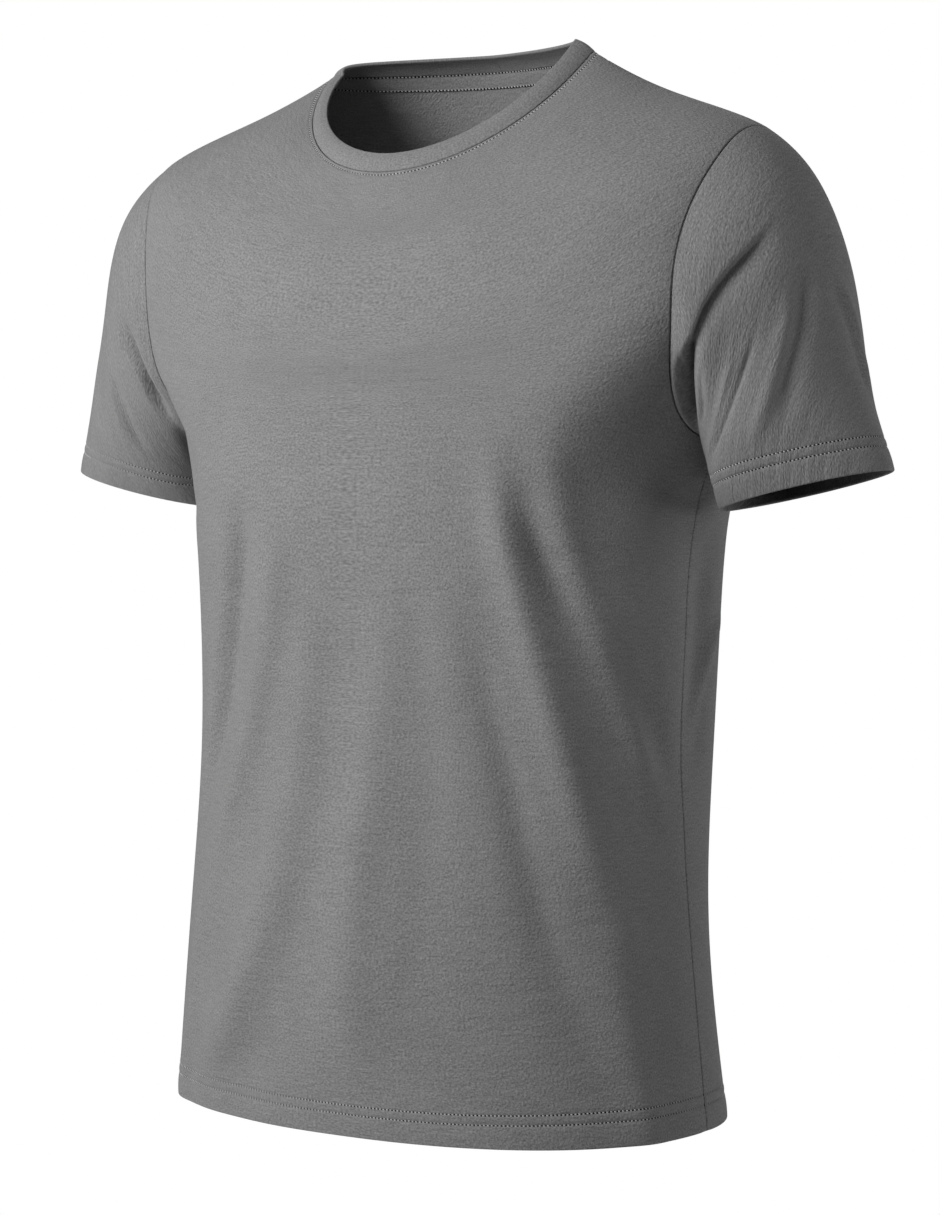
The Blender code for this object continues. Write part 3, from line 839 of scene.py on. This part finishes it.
# Places at which a piece gets its rows or columns of points: from a seam, and from a hem's or a band's edge.
SEAM_STEPS = in_metres(0, 0.05, 0.2, 0.42, 0.7, 1.0, 1.45, 1.9, 2.35, 3.0, 4.2, 6.0)
HEM_STEPS = in_metres(
    *(0, 0.06, 0.25, 0.55, 0.9, 1.3, 2.0, 3.6, 6.0, 8.5, 11.0, 13.5, 15.1, 15.8, 16.2, 16.6, 17.3, 18.4),
    *(19.5, 20.6, 21.7, 22.4, 22.8, 23.2, 23.9, 25.0, 27.0),
)
NECK_STEPS = in_metres(0, 0.05, 0.2, 0.42, 0.7, 1.0, 1.45, 1.95, 2.4, 2.7, 3.0, 3.3, 3.7, 4.6, 6.0)
TAPE_STEPS = NECK_STEPS[:-1] + in_metres(6.2, 8.0, 8.9, 9.3, 9.6, 9.9, 10.4, 11.5, 13.0)
BAND_STEPS = in_metres(0, 0.06, 0.22, 0.5, 0.85, 1.25, 2.0, 3.2)
TAPE_EDGE_STEPS = in_metres(0, 0.1, 0.3, 0.55, 0.9, 1.3, 1.7)
# Rows of stitches.
HEM_ROWS = in_metres(16.2, 22.8)  # the two rows of the twin needle, from the hem's edge
NECK_ROW = 3.0 * MM  # the row on the body, beside the neckband
TAPE_ROW = 9.6 * MM  # the row that holds the tape's lower edge, through the back


def rounded(distance: np.ndarray, radius: float | np.ndarray) -> np.ndarray:
    """How far a quarter circle falls away towards an edge, as a share of its radius."""
    left = np.clip(1 - distance / radius, 0, 1)
    return 1 - np.sqrt(1 - left**2)


@dataclass(frozen=True)
class Cloth:
    """The thickness of the cloth, and what sewing does to its surface."""

    thickness: float = 1.0 * MM
    hem_depth: float = 24.0 * MM
    groove: float = 0.45 * MM  # how deep a row of stitches pulls the cloth in
    groove_width: float = 0.8 * MM
    puff: float = 0.45 * MM  # how far a hem stands out between its edge and its stitches
    rope: float = 0.045 * MM  # how far a hem's twist stands up, in waves of a length, a lean and a height
    rope_waves: tuple[tuple[float, float, float], ...] = (
        (2.9 * MM, 130, 1.0),
        (6.7 * MM, -90, 0.8),
        (11.3 * MM, 40, 0.6),
    )
    hem_reach: float = 30.0 * MM  # height up to which a hem moves the cloth
    least: float = 0.005 * MM  # cloth that is left however far its outer face turns in
    seam_depth: float = 1.7 * MM  # how deep the cloth turns in where its allowance lies inside
    seam_radius: float = 1.2 * MM
    allowance: float = 6.0 * MM
    allowance_layers: float = 1.2 * MM  # how much thicker the cloth is there
    allowance_fade: float = 30.0 * MM  # length of a shoulder seam over which it dies away to the neck

    def turned_in(self, distance: np.ndarray) -> np.ndarray:
        """How far the outer face turns in at a distance from a seam without allowance under it."""
        return -0.995 * self.thickness * rounded(distance, self.thickness)

    def seamed(self, distance: np.ndarray) -> np.ndarray:
        """How far the outer face turns in at a distance from a seam with its allowance inside."""
        return -self.seam_depth * rounded(distance, self.seam_radius)

    def backed(self, distance: np.ndarray) -> np.ndarray:
        """How much thicker the cloth is at a distance from such a seam."""
        return self.allowance_layers * smooth_step((self.allowance - distance) / (1.5 * MM))

    def stitched(self, distance: np.ndarray, row: float) -> np.ndarray:
        """How far a row of stitches pulls the face in, at a distance measured as the row's is."""
        return -self.groove * np.exp(-(((distance - row) / self.groove_width) ** 2))

    def hem_layers(self, distance: np.ndarray) -> np.ndarray:
        """How thick the cloth is at a distance from a hem's edge."""
        return self.thickness * (1 + smooth_step((self.hem_depth - distance) / (1.2 * MM)))

    def hem_face(self, distance: np.ndarray, along: np.ndarray) -> np.ndarray:
        """How far the face of a hem moves.

        Args:
            distance: from the hem's edge, up.
            along: distance round the hem.

        Returns:
            The distance out.
        """
        first, second = HEM_ROWS
        puffed = self.puff * np.sin(math.pi * np.clip(distance / first, 0, 1)) ** 0.7
        puffed += 0.5 * self.puff * np.sin(math.pi * np.clip((distance - first) / (second - first), 0, 1))
        inside = smooth_step(distance / (4 * MM)) * smooth_step((second + 5 * MM - distance) / (8 * MM))
        rope = sum(high * np.sin(along / long + lean * distance) for long, lean, high in self.rope_waves)
        moved = puffed + self.stitched(distance, first) + self.stitched(distance, second)
        moved += self.rope * rope * inside
        return np.where(distance < self.hem_reach, moved, 0)

    def rim(self, distance: np.ndarray, layers: np.ndarray) -> np.ndarray:
        """How far both faces turn in towards each other at a free edge."""
        return 0.98 * layers / 2 * rounded(distance, layers / 2)


@dataclass
class Sheet:
    """A cut piece of cloth, as a thin shell between two grids of points."""

    name: str
    solid: str
    slot: str
    flat: tuple[float, float]
    area: float | None
    held: str
    material: bpy.types.Material
    cloth: Cloth = Cloth()
    outer: np.ndarray = field(init=False)
    inner: np.ndarray = field(init=False)
    normals: np.ndarray = field(init=False)

    def lay(self, form: np.ndarray, face: np.ndarray, layers: np.ndarray, from_edge: np.ndarray) -> None:
        """Lays both faces of the cloth.

        Args:
            form: the form's points.
            face: how far the outer face moves out.
            layers: how thick the cloth is.
            from_edge: distance from the free edge.
        """
        rim = self.cloth.rim(from_edge, layers)
        self.outer = form + (np.maximum(face, self.cloth.least - layers) - rim)[..., None] * self.normals
        self.inner = form - (layers - rim)[..., None] * self.normals

    def shell(self, coordinates: np.ndarray, wraps: bool) -> bpy.types.Object:
        """Makes the object between the outer and the inner grid, and hands it to the frame.

        Args:
            coordinates: the cloth's own coordinates, across and along, by row and column.
            wraps: whether the last column joins the first.

        Returns:
            The object.
        """
        rows, columns = self.outer.shape[:2]
        index = np.arange(rows * columns).reshape(rows, columns)
        if wraps:
            index = np.concatenate([index, index[:, :1]], axis=1)
        quads = np.stack([index[:-1, :-1], index[:-1, 1:], index[1:, 1:], index[1:, :-1]], axis=-1)
        quads = quads.reshape(-1, 4)
        inside = index + rows * columns
        flipped = quads[:, ::-1] + rows * columns
        rims = [
            np.stack([inside[0, :-1], inside[0, 1:], index[0, 1:], index[0, :-1]], axis=-1),
            np.stack([index[-1, :-1], index[-1, 1:], inside[-1, 1:], inside[-1, :-1]], axis=-1),
        ]
        if not wraps:
            rims.append(np.stack([index[:-1, 0], index[1:, 0], inside[1:, 0], inside[:-1, 0]], axis=-1))
            rims.append(np.stack([index[1:, -1], index[:-1, -1], inside[:-1, -1], inside[1:, -1]], axis=-1))
        faces = np.concatenate([quads, flipped, *rims])
        points = np.concatenate([self.outer.reshape(-1, 3), self.inner.reshape(-1, 3)])
        mesh = mesh_of(self.name, points, faces)
        wide = np.concatenate([coordinates.reshape(-1, 2)] * 2)
        mesh.attributes.new("cloth", "FLOAT_VECTOR", "POINT").data.foreach_set(
            "vector", np.pad(wide, ((0, 0), (0, 1))).ravel()
        )
        mesh.materials.append(self.material)
        piece = place_piece(self.name, mesh)
        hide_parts(self.solid)
        log.info("%s: %d faces", self.name, len(faces))
        return piece


def mesh_of(name: str, points: np.ndarray, faces: np.ndarray) -> bpy.types.Mesh:
    """A smooth mesh of faces that all have as many corners.

    Args:
        name: the mesh's name.
        points: its points.
        faces: its faces, as rows of point numbers.

    Returns:
        The mesh.
    """
    mesh = bpy.data.meshes.new(name)
    count, corners = faces.shape
    mesh.vertices.add(len(points))
    mesh.vertices.foreach_set("co", points.ravel())
    mesh.loops.add(count * corners)
    mesh.loops.foreach_set("vertex_index", faces.ravel())
    mesh.polygons.add(count)
    mesh.polygons.foreach_set("loop_start", np.arange(0, count * corners, corners))
    mesh.polygons.foreach_set("use_smooth", np.ones(count, bool))
    mesh.update(calc_edges=True)
    return mesh


def place_piece(name: str, mesh: bpy.types.Mesh) -> bpy.types.Object:
    """Links a mesh as a piece of the shirt, which rides on its one body.

    Args:
        name: the piece's name.
        mesh: its mesh.

    Returns:
        The object.
    """
    piece = bpy.data.objects.new(name, mesh)
    bpy.context.scene.collection.objects.link(piece)
    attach(piece, "root")
    return piece


@dataclass
class Panel(Sheet):
    """The front or the back, from the hem to the neck seam, between its side, armhole and shoulder seams."""

    body: BodyForm = field(kw_only=True)
    facing: Facing = field(kw_only=True)
    column_gap: float = 3.2 * MM
    row_gap: float = 3.4 * MM
    armhole_rows: int = 50

    def rows(self) -> tuple[np.ndarray, np.ndarray]:
        """The stations of the rows, and the turn of the armhole that each meets, or 0.

        Returns:
            The stations and the turns.
        """
        length, low = self.body.length, self.body.station_of("underarm")
        lower = ladder(low * length, self.row_gap, HEM_STEPS, SEAM_STEPS)[:-1] / length
        turns = np.linspace(math.pi, 0, self.armhole_rows + 1)
        high = self.body.station_of("shoulder")
        top = TAPE_STEPS if self.facing is Facing.BACK else NECK_STEPS
        yoke = high + ladder((1 - high) * length, self.row_gap, SEAM_STEPS, top)[1:] / length
        stations = np.concatenate([lower, self.body.armhole(turns, Side.LEFT)[1], yoke])
        return stations, np.concatenate([0 * lower, turns, 0 * yoke])

    def build(self) -> bpy.types.Object:
        """Makes the panel.

        Returns:
            The object.
        """
        stations, turns = self.rows()
        front = self.facing is Facing.FRONT
        cut = self.body.armhole_front_deg if front else self.body.armhole_back_deg
        reach = np.radians(90 - cut * np.sin(turns))
        half = self.body.drape.radius * math.pi / 2
        share = ladder(2 * half, self.column_gap, SEAM_STEPS, SEAM_STEPS) / half - 1
        angles = math.radians(self.facing.value) + share[None, :] * reach[:, None]
        heights = np.broadcast_to(stations[:, None], angles.shape)
        form = self.body.surface(angles, heights)
        self.normals = grid_normals(form, False)
        from_hem = heights * self.body.length
        from_neck = (1 - heights) * self.body.length
        from_side = self.from_side_seams(form, turns)
        face = self.cloth.seamed(from_side) + self.cloth.turned_in(from_neck)
        face += self.cloth.stitched(from_neck, NECK_ROW)
        if not front:
            face += self.cloth.stitched(from_neck, TAPE_ROW)
        face += self.cloth.hem_face(from_hem, angles * self.body.drape.radius)
        backed = self.cloth.backed(from_side) * smooth_step(from_neck / self.cloth.allowance_fade)
        self.lay(form, face, self.cloth.hem_layers(from_hem) + backed, from_hem)
        return self.shell(np.stack([angles * self.body.drape.radius, from_hem], axis=-1), False)

    def from_side_seams(self, form: np.ndarray, turns: np.ndarray) -> np.ndarray:
        """Distance from the side, armhole and shoulder seams.

        Args:
            form: the panel's points.
            turns: the turn of the armhole at each row.

        Returns:
            The distance at each point, exact within 12 mm of a seam and at least that elsewhere.
        """
        near = 12 * MM
        distance = np.full(form.shape[:2], near)
        for edge in (0, -1):
            line = densely(form[:, edge], 0.4 * MM)
            across = np.linalg.norm(form - form[:, edge : edge + 1 or None], axis=-1)
            by_armhole = (turns > 0) | (np.roll(turns, 8) > 0) | (np.roll(turns, -8) > 0)
            close = (across < near) | (by_armhole[:, None] & (across < 8 * near))
            distance[close] = np.minimum(distance[close], nearest_on(line, form[close]))
        return distance

    def row_at(self, from_hem: float | None = None, from_neck: float | None = None) -> np.ndarray:
        """A row of the panel's outer face as a line with its normals.

        Args:
            from_hem: the row's distance from the hem's edge.
            from_neck: or its distance from the neck seam.

        Returns:
            Points, each followed by its normal.
        """
        stations, _ = self.rows()
        wanted = from_hem / self.body.length if from_hem is not None else 1 - from_neck / self.body.length
        row = int(np.argmin(np.abs(stations - wanted)))
        return np.concatenate([self.outer[row, 3:-3], self.normals[row, 3:-3]], axis=1)


@dataclass
class Sleeve(Sheet):
    """A short sleeve, from its armhole to its hemmed cuff, with its seam along the underside."""

    form: SleeveForm = field(kw_only=True)
    columns: int = 168
    row_gap: float = 3.0 * MM
    underside: float = 0.8  # the radius under the arm, as a share of the drape's
    under_seam: float = 0.8  # how far the cloth turns in there, as a share of what it does elsewhere

    def build(self) -> bpy.types.Object:
        """Makes the sleeve.

        Returns:
            The object.
        """
        turn = np.linspace(-math.pi, math.pi, self.columns, endpoint=False)
        lines = self.form.bare(*np.meshgrid(turn, np.linspace(0, 1, 25)))
        lengths = np.linalg.norm(np.diff(lines, axis=0), axis=-1).sum(axis=0)
        top = ladder(self.form.length, self.row_gap, SEAM_STEPS, HEM_STEPS)
        fixed = self.form.length - HEM_STEPS[-1]
        above = np.minimum(top, fixed)[:, None] / fixed * (1 - HEM_STEPS[-1] / lengths)
        shares = above + np.maximum(top - fixed, 0)[:, None] / lengths
        if self.form.side is Side.RIGHT:
            turn, lengths, shares = turn[::-1], lengths[::-1], shares[:, ::-1]
        turns = np.broadcast_to(turn, shares.shape)
        form = self.form.surface(turns, shares)
        self.normals = grid_normals(form, True)
        self.from_cuff = (1 - shares) * lengths
        from_seam = shares * lengths
        along = turns * self.form.drape.radius
        from_under = (math.pi - np.abs(turns)) * self.form.drape.radius * self.underside + 0.2 * MM
        face = self.cloth.seamed(from_seam) + self.under_seam * self.cloth.turned_in(from_under)
        face += self.cloth.hem_face(self.from_cuff, along)
        layers = self.cloth.hem_layers(self.from_cuff) + self.cloth.backed(from_seam)
        self.lay(form, face, layers, self.from_cuff)
        return self.shell(np.stack([along, from_seam], axis=-1), True)

    def row_at(self, from_cuff: float) -> np.ndarray:
        """A row of the sleeve's outer face as a closed line with its normals.

        Args:
            from_cuff: the row's distance from the cuff's edge.

        Returns:
            Points, each followed by its normal.
        """
        row = int(np.argmin(np.abs(self.from_cuff[:, 0] - from_cuff)))
        line = np.concatenate([self.outer[row], self.normals[row]], axis=1)
        return np.concatenate([line, line[:1]])


@dataclass
class Neckband(Sheet):
    """The doubled strip of rib that stands on the neck seam, folded at its top edge."""

    body: BodyForm = field(kw_only=True)
    band: float = 2.4 * MM  # both layers together
    bulge: float = 1.2 * MM
    columns: int = 300
    radius: float = 0.095  # turns an angle into metres of rib

    def build(self) -> bpy.types.Object:
        """Makes the neckband.

        Returns:
            The object.
        """
        angle = np.linspace(-math.pi, math.pi, self.columns, endpoint=False)
        foot = self.body.surface(angle, np.ones_like(angle))
        top = ring_points(angle, sizes_of(BAND_TOP))
        width = np.linalg.norm(top - foot, axis=1).mean()
        up = ladder(width, 1.6 * MM, SEAM_STEPS, BAND_STEPS)
        share = (up / width)[:, None]
        flat = foot + (top - foot) * share[..., None]
        form = flat + grid_normals(flat, True) * (self.bulge * np.sin(math.pi * share))[..., None]
        self.normals = grid_normals(form, True)
        layers = np.full_like(share, self.band)
        rim = self.cloth.rim(width * (1 - share), layers)
        seam = self.cloth.turned_in(up)[:, None]
        self.outer = form + (seam - rim)[..., None] * self.normals
        self.inner = form - (layers - rim + 1.2 * seam)[..., None] * self.normals
        wide, tall = np.broadcast_arrays(angle * self.radius, up[:, None])
        return self.shell(np.stack([wide, tall], axis=-1), True)


@dataclass
class NeckTape(Sheet):
    """The folded strip that covers the neck seam inside the back, from shoulder seam to shoulder seam."""

    body: BodyForm = field(kw_only=True)
    drop: float = 0.6 * MM
    width: float = 10.0 * MM
    wall: float = 1.0 * MM
    columns: int = 150
    shoulder_gap_deg: float = 1.5  # from each end to its shoulder seam
    edge_row: float = 1.3 * MM  # the rows of stitches, from the tape's edges
    radius: float = 0.1  # turns an angle into metres of tape

    def build(self) -> bpy.types.Object:
        """Makes the tape.

        Returns:
            The object.
        """
        angle = np.radians(np.linspace(90 + self.shoulder_gap_deg, 270 - self.shoulder_gap_deg, self.columns))
        across = ladder(self.width, 1.2 * MM, TAPE_EDGE_STEPS, TAPE_EDGE_STEPS)
        stations = 1 - (self.drop + self.width - across) / self.body.length
        form = self.body.surface(*np.meshgrid(angle, stations))
        self.normals = grid_normals(form, False)
        from_edge = np.minimum(across, self.width - across)[:, None]
        layers = np.full_like(from_edge, self.wall)
        rim = self.cloth.rim(from_edge, layers)
        back = self.cloth.thickness + 0.05 * MM
        self.outer = form - (back + rim)[..., None] * self.normals
        pulled = self.cloth.stitched(from_edge, self.edge_row) * 0.6
        self.inner = form - (back + layers - rim + pulled)[..., None] * self.normals
        wide, tall = np.broadcast_arrays(angle * self.radius, across[:, None])
        return self.shell(np.stack([wide, tall], axis=-1), False)

    def row_at(self, from_bottom: float) -> np.ndarray:
        """A row of the tape's inner face as a line with its normals.

        Args:
            from_bottom: the row's distance from the tape's lower edge.

        Returns:
            Points, each followed by its normal.
        """
        row = round(from_bottom / self.width * (len(self.inner) - 1))
        return np.concatenate([self.inner[row, 2:-2], -self.normals[row, 2:-2]], axis=1)


@dataclass(frozen=True)
class Stitches:
    """A machine's stitches: small beads of thread along lines, with a low dark dome at each end as painted
    shade in the needle hole.
    """

    thread: bpy.types.Material
    # hole is the material of the painted shade in the needle holes
    hole: bpy.types.Material
    pitch: float = 2.6 * MM
    bead: float = 1.45 * MM  # thread that shows between two holes
    ply: float = 0.42 * MM  # half the thread's thickness
    slant: float = 0.3  # how far a bead lies across its row
    hole_size: float = 0.62 * MM
    sides: int = 6
    hole_sides: int = 8

    def bead_template(self) -> tuple[np.ndarray, np.ndarray]:
        """One bead of thread, along its line.

        Returns:
            Its points, as distances along, out and across, and its faces.
        """
        along = np.array([-0.5, -0.30, 0.0, 0.30, 0.5]) * self.bead
        thick = np.array([0.25, 0.85, 1.0, 0.85, 0.25]) * self.ply
        high = np.array([-1.1, -0.15, 0.10, -0.15, -1.1]) * self.ply
        round_ = np.linspace(0, 2 * math.pi, self.sides, endpoint=False)
        points = np.stack(
            np.broadcast_arrays(
                along[:, None],
                high[:, None] + thick[:, None] * np.cos(round_),
                thick[:, None] * np.sin(round_) + self.slant * along[:, None],
            ),
            axis=-1,
        ).reshape(-1, 3)
        return points, round_faces(len(along), self.sides)

    def hole_shade_template(self) -> tuple[np.ndarray, np.ndarray]:
        """The painted shade of one needle hole, as a low dark dome of three rings.

        Returns:
            Its points, as distances along, out and across, and its faces.
        """
        round_ = np.linspace(0, 2 * math.pi, self.hole_sides, endpoint=False)
        rings = [(1.0, -0.05 * MM), (0.75, 0.20 * MM), (0.05, 0.24 * MM)]
        long, wide = self.hole_size, 1.25 * self.hole_size
        points = [(r * math.cos(a) * long, h, r * math.sin(a) * wide) for r, h in rings for a in round_]
        return np.array(points), round_faces(len(rings), self.hole_sides)[:, ::-1]

    def sew(self, name: str, lines: Sequence[np.ndarray], slot: str) -> bpy.types.Object:
        """Sews rows of stitches.

        Args:
            name: the piece's name.
            lines: points, each followed by its normal.
            slot: not used.

        Returns:
            The object.
        """
        points, faces, kinds, used = [], [], [], 0
        for line in lines:
            for template, shift, kind in (
                (self.bead_template(), 0.5, 0),
                # a dark dome of painted shade over each needle hole
                (self.hole_shade_template(), 0.0, 1),
            ):
                frames = self.frames(line, shift)
                shape, patch = template
                made = frames[:, 0, None] + np.einsum("kc,ncd->nkd", shape, frames[:, 1:])
                points.append(made.reshape(-1, 3))
                starts = used + np.arange(len(frames)) * len(shape)
                faces.append((patch[None] + starts[:, None, None]).reshape(-1, 4))
                kinds.append(np.full(len(faces[-1]), kind))
                used += len(points[-1])
        mesh = mesh_of(name, np.concatenate(points), np.concatenate(faces))
        mesh.materials.append(self.thread)
        # the second slot is the painted shade in the needle holes
        mesh.materials.append(self.hole)
        mesh.polygons.foreach_set("material_index", np.concatenate(kinds).astype(np.int32))
        log.info("%s: %d faces", name, len(mesh.polygons))
        return place_piece(name, mesh)

    def frames(self, line: np.ndarray, shift: float) -> np.ndarray:
        """Where the stitches of a line sit.

        Args:
            line: points, each followed by its normal.
            shift: share of the pitch by which the first one is moved along.

        Returns:
            For each stitch its place, and its directions along, out and across.
        """
        reached = run_along(line[:, :3])
        count = max(1, int(reached[-1] / self.pitch))
        at = (np.arange(count) + shift) * reached[-1] / count
        before, here, beyond = (
            np.stack([np.interp(at + step, reached, values) for values in line.T], axis=1)
            for step in (-0.4 * MM, 0, 0.4 * MM)
        )
        place, out = here[:, :3], unit(here[:, 3:])
        along = unit(beyond[:, :3] - before[:, :3])
        across = unit(np.cross(along, out))
        return np.stack([place, along, np.cross(across, along), across], axis=1)


# --- Studio ---


def set_up(name: str, thing: bpy.types.ID, place: Vector, turn: Quaternion) -> bpy.types.Object:
    """Adds a light or a camera to the scene.

    Args:
        name: the object's name.
        thing: the light or the camera.
        place: where it stands.
        turn: how it is turned.

    Returns:
        The object.
    """
    standing = bpy.data.objects.new(name, thing)
    standing.location = place
    standing.rotation_mode = "QUATERNION"
    standing.rotation_quaternion = turn
    bpy.context.scene.collection.objects.link(standing)
    return standing


@dataclass(frozen=True)
class Softbox:
    """A square softbox that looks at the shirt's middle."""

    name: str
    azimuth_deg: float  # round from the shirt's front, positive towards the wearer's left
    elevation_deg: float
    distance: float
    size: float
    watts: float

    def build(self, aim: Vector) -> bpy.types.Object:
        """Hangs the softbox.

        Args:
            aim: the point that it looks at.

        Returns:
            The light.
        """
        lamp = bpy.data.lights.new(self.name, "AREA")
        lamp.shape, lamp.size, lamp.energy = "SQUARE", self.size, self.watts
        azimuth, elevation = math.radians(self.azimuth_deg), math.radians(self.elevation_deg)
        level = math.cos(elevation)
        out = Vector((math.sin(azimuth) * level, -math.cos(azimuth) * level, math.sin(elevation)))
        return set_up(self.name, lamp, aim + out * self.distance, out.to_track_quat("Z", "Y"))


@dataclass(frozen=True)
class Camera:
    """The camera, level with the shirt's chest and aimed a little down."""

    azimuth_deg: float = 33.3
    distance: float = 2.22
    height: float = -0.2777
    focal_px: float = 3210.0
    frame_px: tuple[int, int] = (940, 1215)
    level_px: tuple[float, float] = (455.2, 466.6)  # where a level line of sight meets the frame

    def build(self) -> bpy.types.Object:
        """Sets the camera up as the scene's.

        Returns:
            The camera.
        """
        lens = bpy.data.cameras.new("camera")
        lens.lens = self.focal_px * lens.sensor_width / max(self.frame_px)
        lens.clip_start, lens.clip_end = 0.05, 60.0
        turn = math.radians(self.azimuth_deg)
        right = Vector((math.cos(turn), math.sin(turn), 0))
        ahead = Vector((-math.sin(turn), math.cos(turn), 0))
        aside = (self.frame_px[0] / 2 - self.level_px[0]) / self.focal_px
        below = (self.level_px[1] - self.frame_px[1] / 2) / self.focal_px
        sight = ahead + right * aside + Vector((0, 0, below))
        place = -ahead * self.distance + Vector((0, 0, self.height))
        camera = set_up("camera", lens, place, sight.to_track_quat("-Z", "Y"))
        bpy.context.scene.camera = camera
        return camera


@dataclass
class Studio:
    """The floor, the light and the air round the shirt."""

    paper: bpy.types.Material
    floor_z: float = -1.45
    floor_rings: tuple[float, ...] = (0.001, 0.4, 0.8, 1.2, 1.6, 2.0, 2.2)
    floor_sides: int = 96
    aim: tuple[float, float, float] = (0, 0, -0.36)  # the shirt's middle
    ambient: float = 0.0  # the softboxes give all the light
    softboxes: tuple[Softbox, ...] = (
        Softbox("key softbox", -20, 25, 1.7, 0.9, 28),
        Softbox("low fill softbox", -60, -25, 2.6, 1.4, 25),
        Softbox("edge softbox", 110, 10, 1.7, 0.9, 6.6),
        Softbox("strip softbox", 158, 0, 1.7, 0.6, 3.5),
        Softbox("top softbox", 30, 45, 1.7, 0.9, 3.3),
        Softbox("rear softbox", 200, 25, 2.6, 1.4, 18),
    )

    def build(self) -> None:
        """Lays the floor and lights the shirt."""
        round_ = np.linspace(0, 2 * math.pi, self.floor_sides, endpoint=False)
        points = [(r * math.cos(a), r * math.sin(a), self.floor_z) for r in self.floor_rings for a in round_]
        faces = round_faces(len(self.floor_rings), self.floor_sides)[:, ::-1]
        mesh = mesh_of("floor", np.array(points), faces)
        mesh.materials.append(self.paper)
        floor = bpy.data.objects.new("floor", mesh)
        bpy.context.scene.collection.objects.link(floor)
        for softbox in self.softboxes:
            softbox.build(Vector(self.aim))
        self.air()
        bpy.context.scene.view_settings.view_transform = "Standard"
        log.info("studio: floor and %d softboxes", len(self.softboxes))

    def air(self) -> None:
        """A white backdrop for the camera, which gives the shirt only the ambient light."""
        world = bpy.data.worlds.new("studio air")
        bpy.context.scene.world = world
        world.use_nodes = True
        tree = world.node_tree
        tree.nodes.clear()
        seen = add_node(tree, "ShaderNodeLightPath").outputs["Is Camera Ray"]
        low, white = (
            add_node(tree, "ShaderNodeBackground", {"Color": linear("ffffff"), "Strength": strength})
            for strength in (self.ambient, 1.0)
        )
        mixed = add_node(tree, "ShaderNodeMixShader", {0: seen, 1: low.outputs[0], 2: white.outputs[0]})
        add_node(tree, "ShaderNodeOutputWorld", {"Surface": mixed.outputs[0]})


# --- The shirt ---


@dataclass
class Shirt:
    """The whole shirt, piece by piece, in the order in which it is sewn."""

    finishes: Finishes
    body: BodyForm = field(
        default_factory=lambda: BodyForm(BODY_RINGS, Drape(BODY_FOLDS, radius=0.160))
    )

    def build(self) -> None:
        """Cuts the pieces and sews them."""
        jersey = self.finishes.jersey
        front, back = (
            Panel(
                f"{word}_panel", word, "jersey", (0.58, tall), area, "hung", jersey,
                body=self.body, facing=facing,
            )
            for word, facing, tall, area in (
                ("front", Facing.FRONT, 0.76, 0.385),
                ("back", Facing.BACK, 0.78, 0.40),
            )
        )
        sleeves = {}
        for side, folds in ((Side.LEFT, LEFT_SLEEVE_FOLDS), (Side.RIGHT, RIGHT_SLEEVE_FOLDS)):
            word = side.name.lower()
            form = SleeveForm(SLEEVE_RINGS, Drape(folds, radius=0.065), self.body, side)
            sleeves[side] = Sleeve(
                f"{word}_sleeve", f"sleeve_{word}", "jersey", (0.46, 0.26), 0.085, "hung", jersey, form=form
            )
        band = Neckband(
            "rib_neckband", "neckband", "rib", (0.58, 0.021), None, "stretched", self.finishes.rib,
            body=self.body,
        )
        tape = NeckTape(
            "back_neck_tape", "neck_tape", "tape", (0.26, 0.011), None, "laid", self.finishes.tape,
            body=self.body,
        )
        for piece in (front, back, *sleeves.values(), band, tape):
            piece.build()
        self.sew(front, back, sleeves, tape)

    def sew(self, front: Panel, back: Panel, sleeves: dict[Side, Sleeve], tape: NeckTape) -> None:
        """Sews the rows of stitches that show.

        Args:
            front: the front panel.
            back: the back panel.
            sleeves: the sleeves by side.
            tape: the neck tape.
        """
        stitches = Stitches(self.finishes.thread, self.finishes.hole)
        hem = [panel.row_at(from_hem=row) for panel in (front, back) for row in HEM_ROWS]
        stitches.sew("hem_stitches", hem, "jersey")
        for side, sleeve in sleeves.items():
            cuff = [sleeve.row_at(from_cuff=row) for row in HEM_ROWS]
            stitches.sew(f"{side.name.lower()}_cuff_stitches", cuff, "jersey")
        neck = [panel.row_at(from_neck=NECK_ROW) for panel in (front, back)]
        stitches.sew("neck_stitches", [*neck, back.row_at(from_neck=TAPE_ROW)], "jersey")
        edges = [tape.row_at(row) for row in (tape.edge_row, tape.width - tape.edge_row)]
        stitches.sew("tape_stitches", edges, "tape")


def corners(box: tuple[Vector, Vector]) -> list[list[float]]:
    """A box as plain lists of numbers."""
    return [list(corner) for corner in box]


def main() -> None:
    """Builds the shirt, the studio and the camera."""
    logging.basicConfig(level=logging.INFO, format="%(name)s: %(message)s")
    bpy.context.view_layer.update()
    finishes = Finishes()
    Shirt(finishes).build()
    Studio(finishes.paper).build()
    Camera().build()


if __name__ == "__main__":
    main()
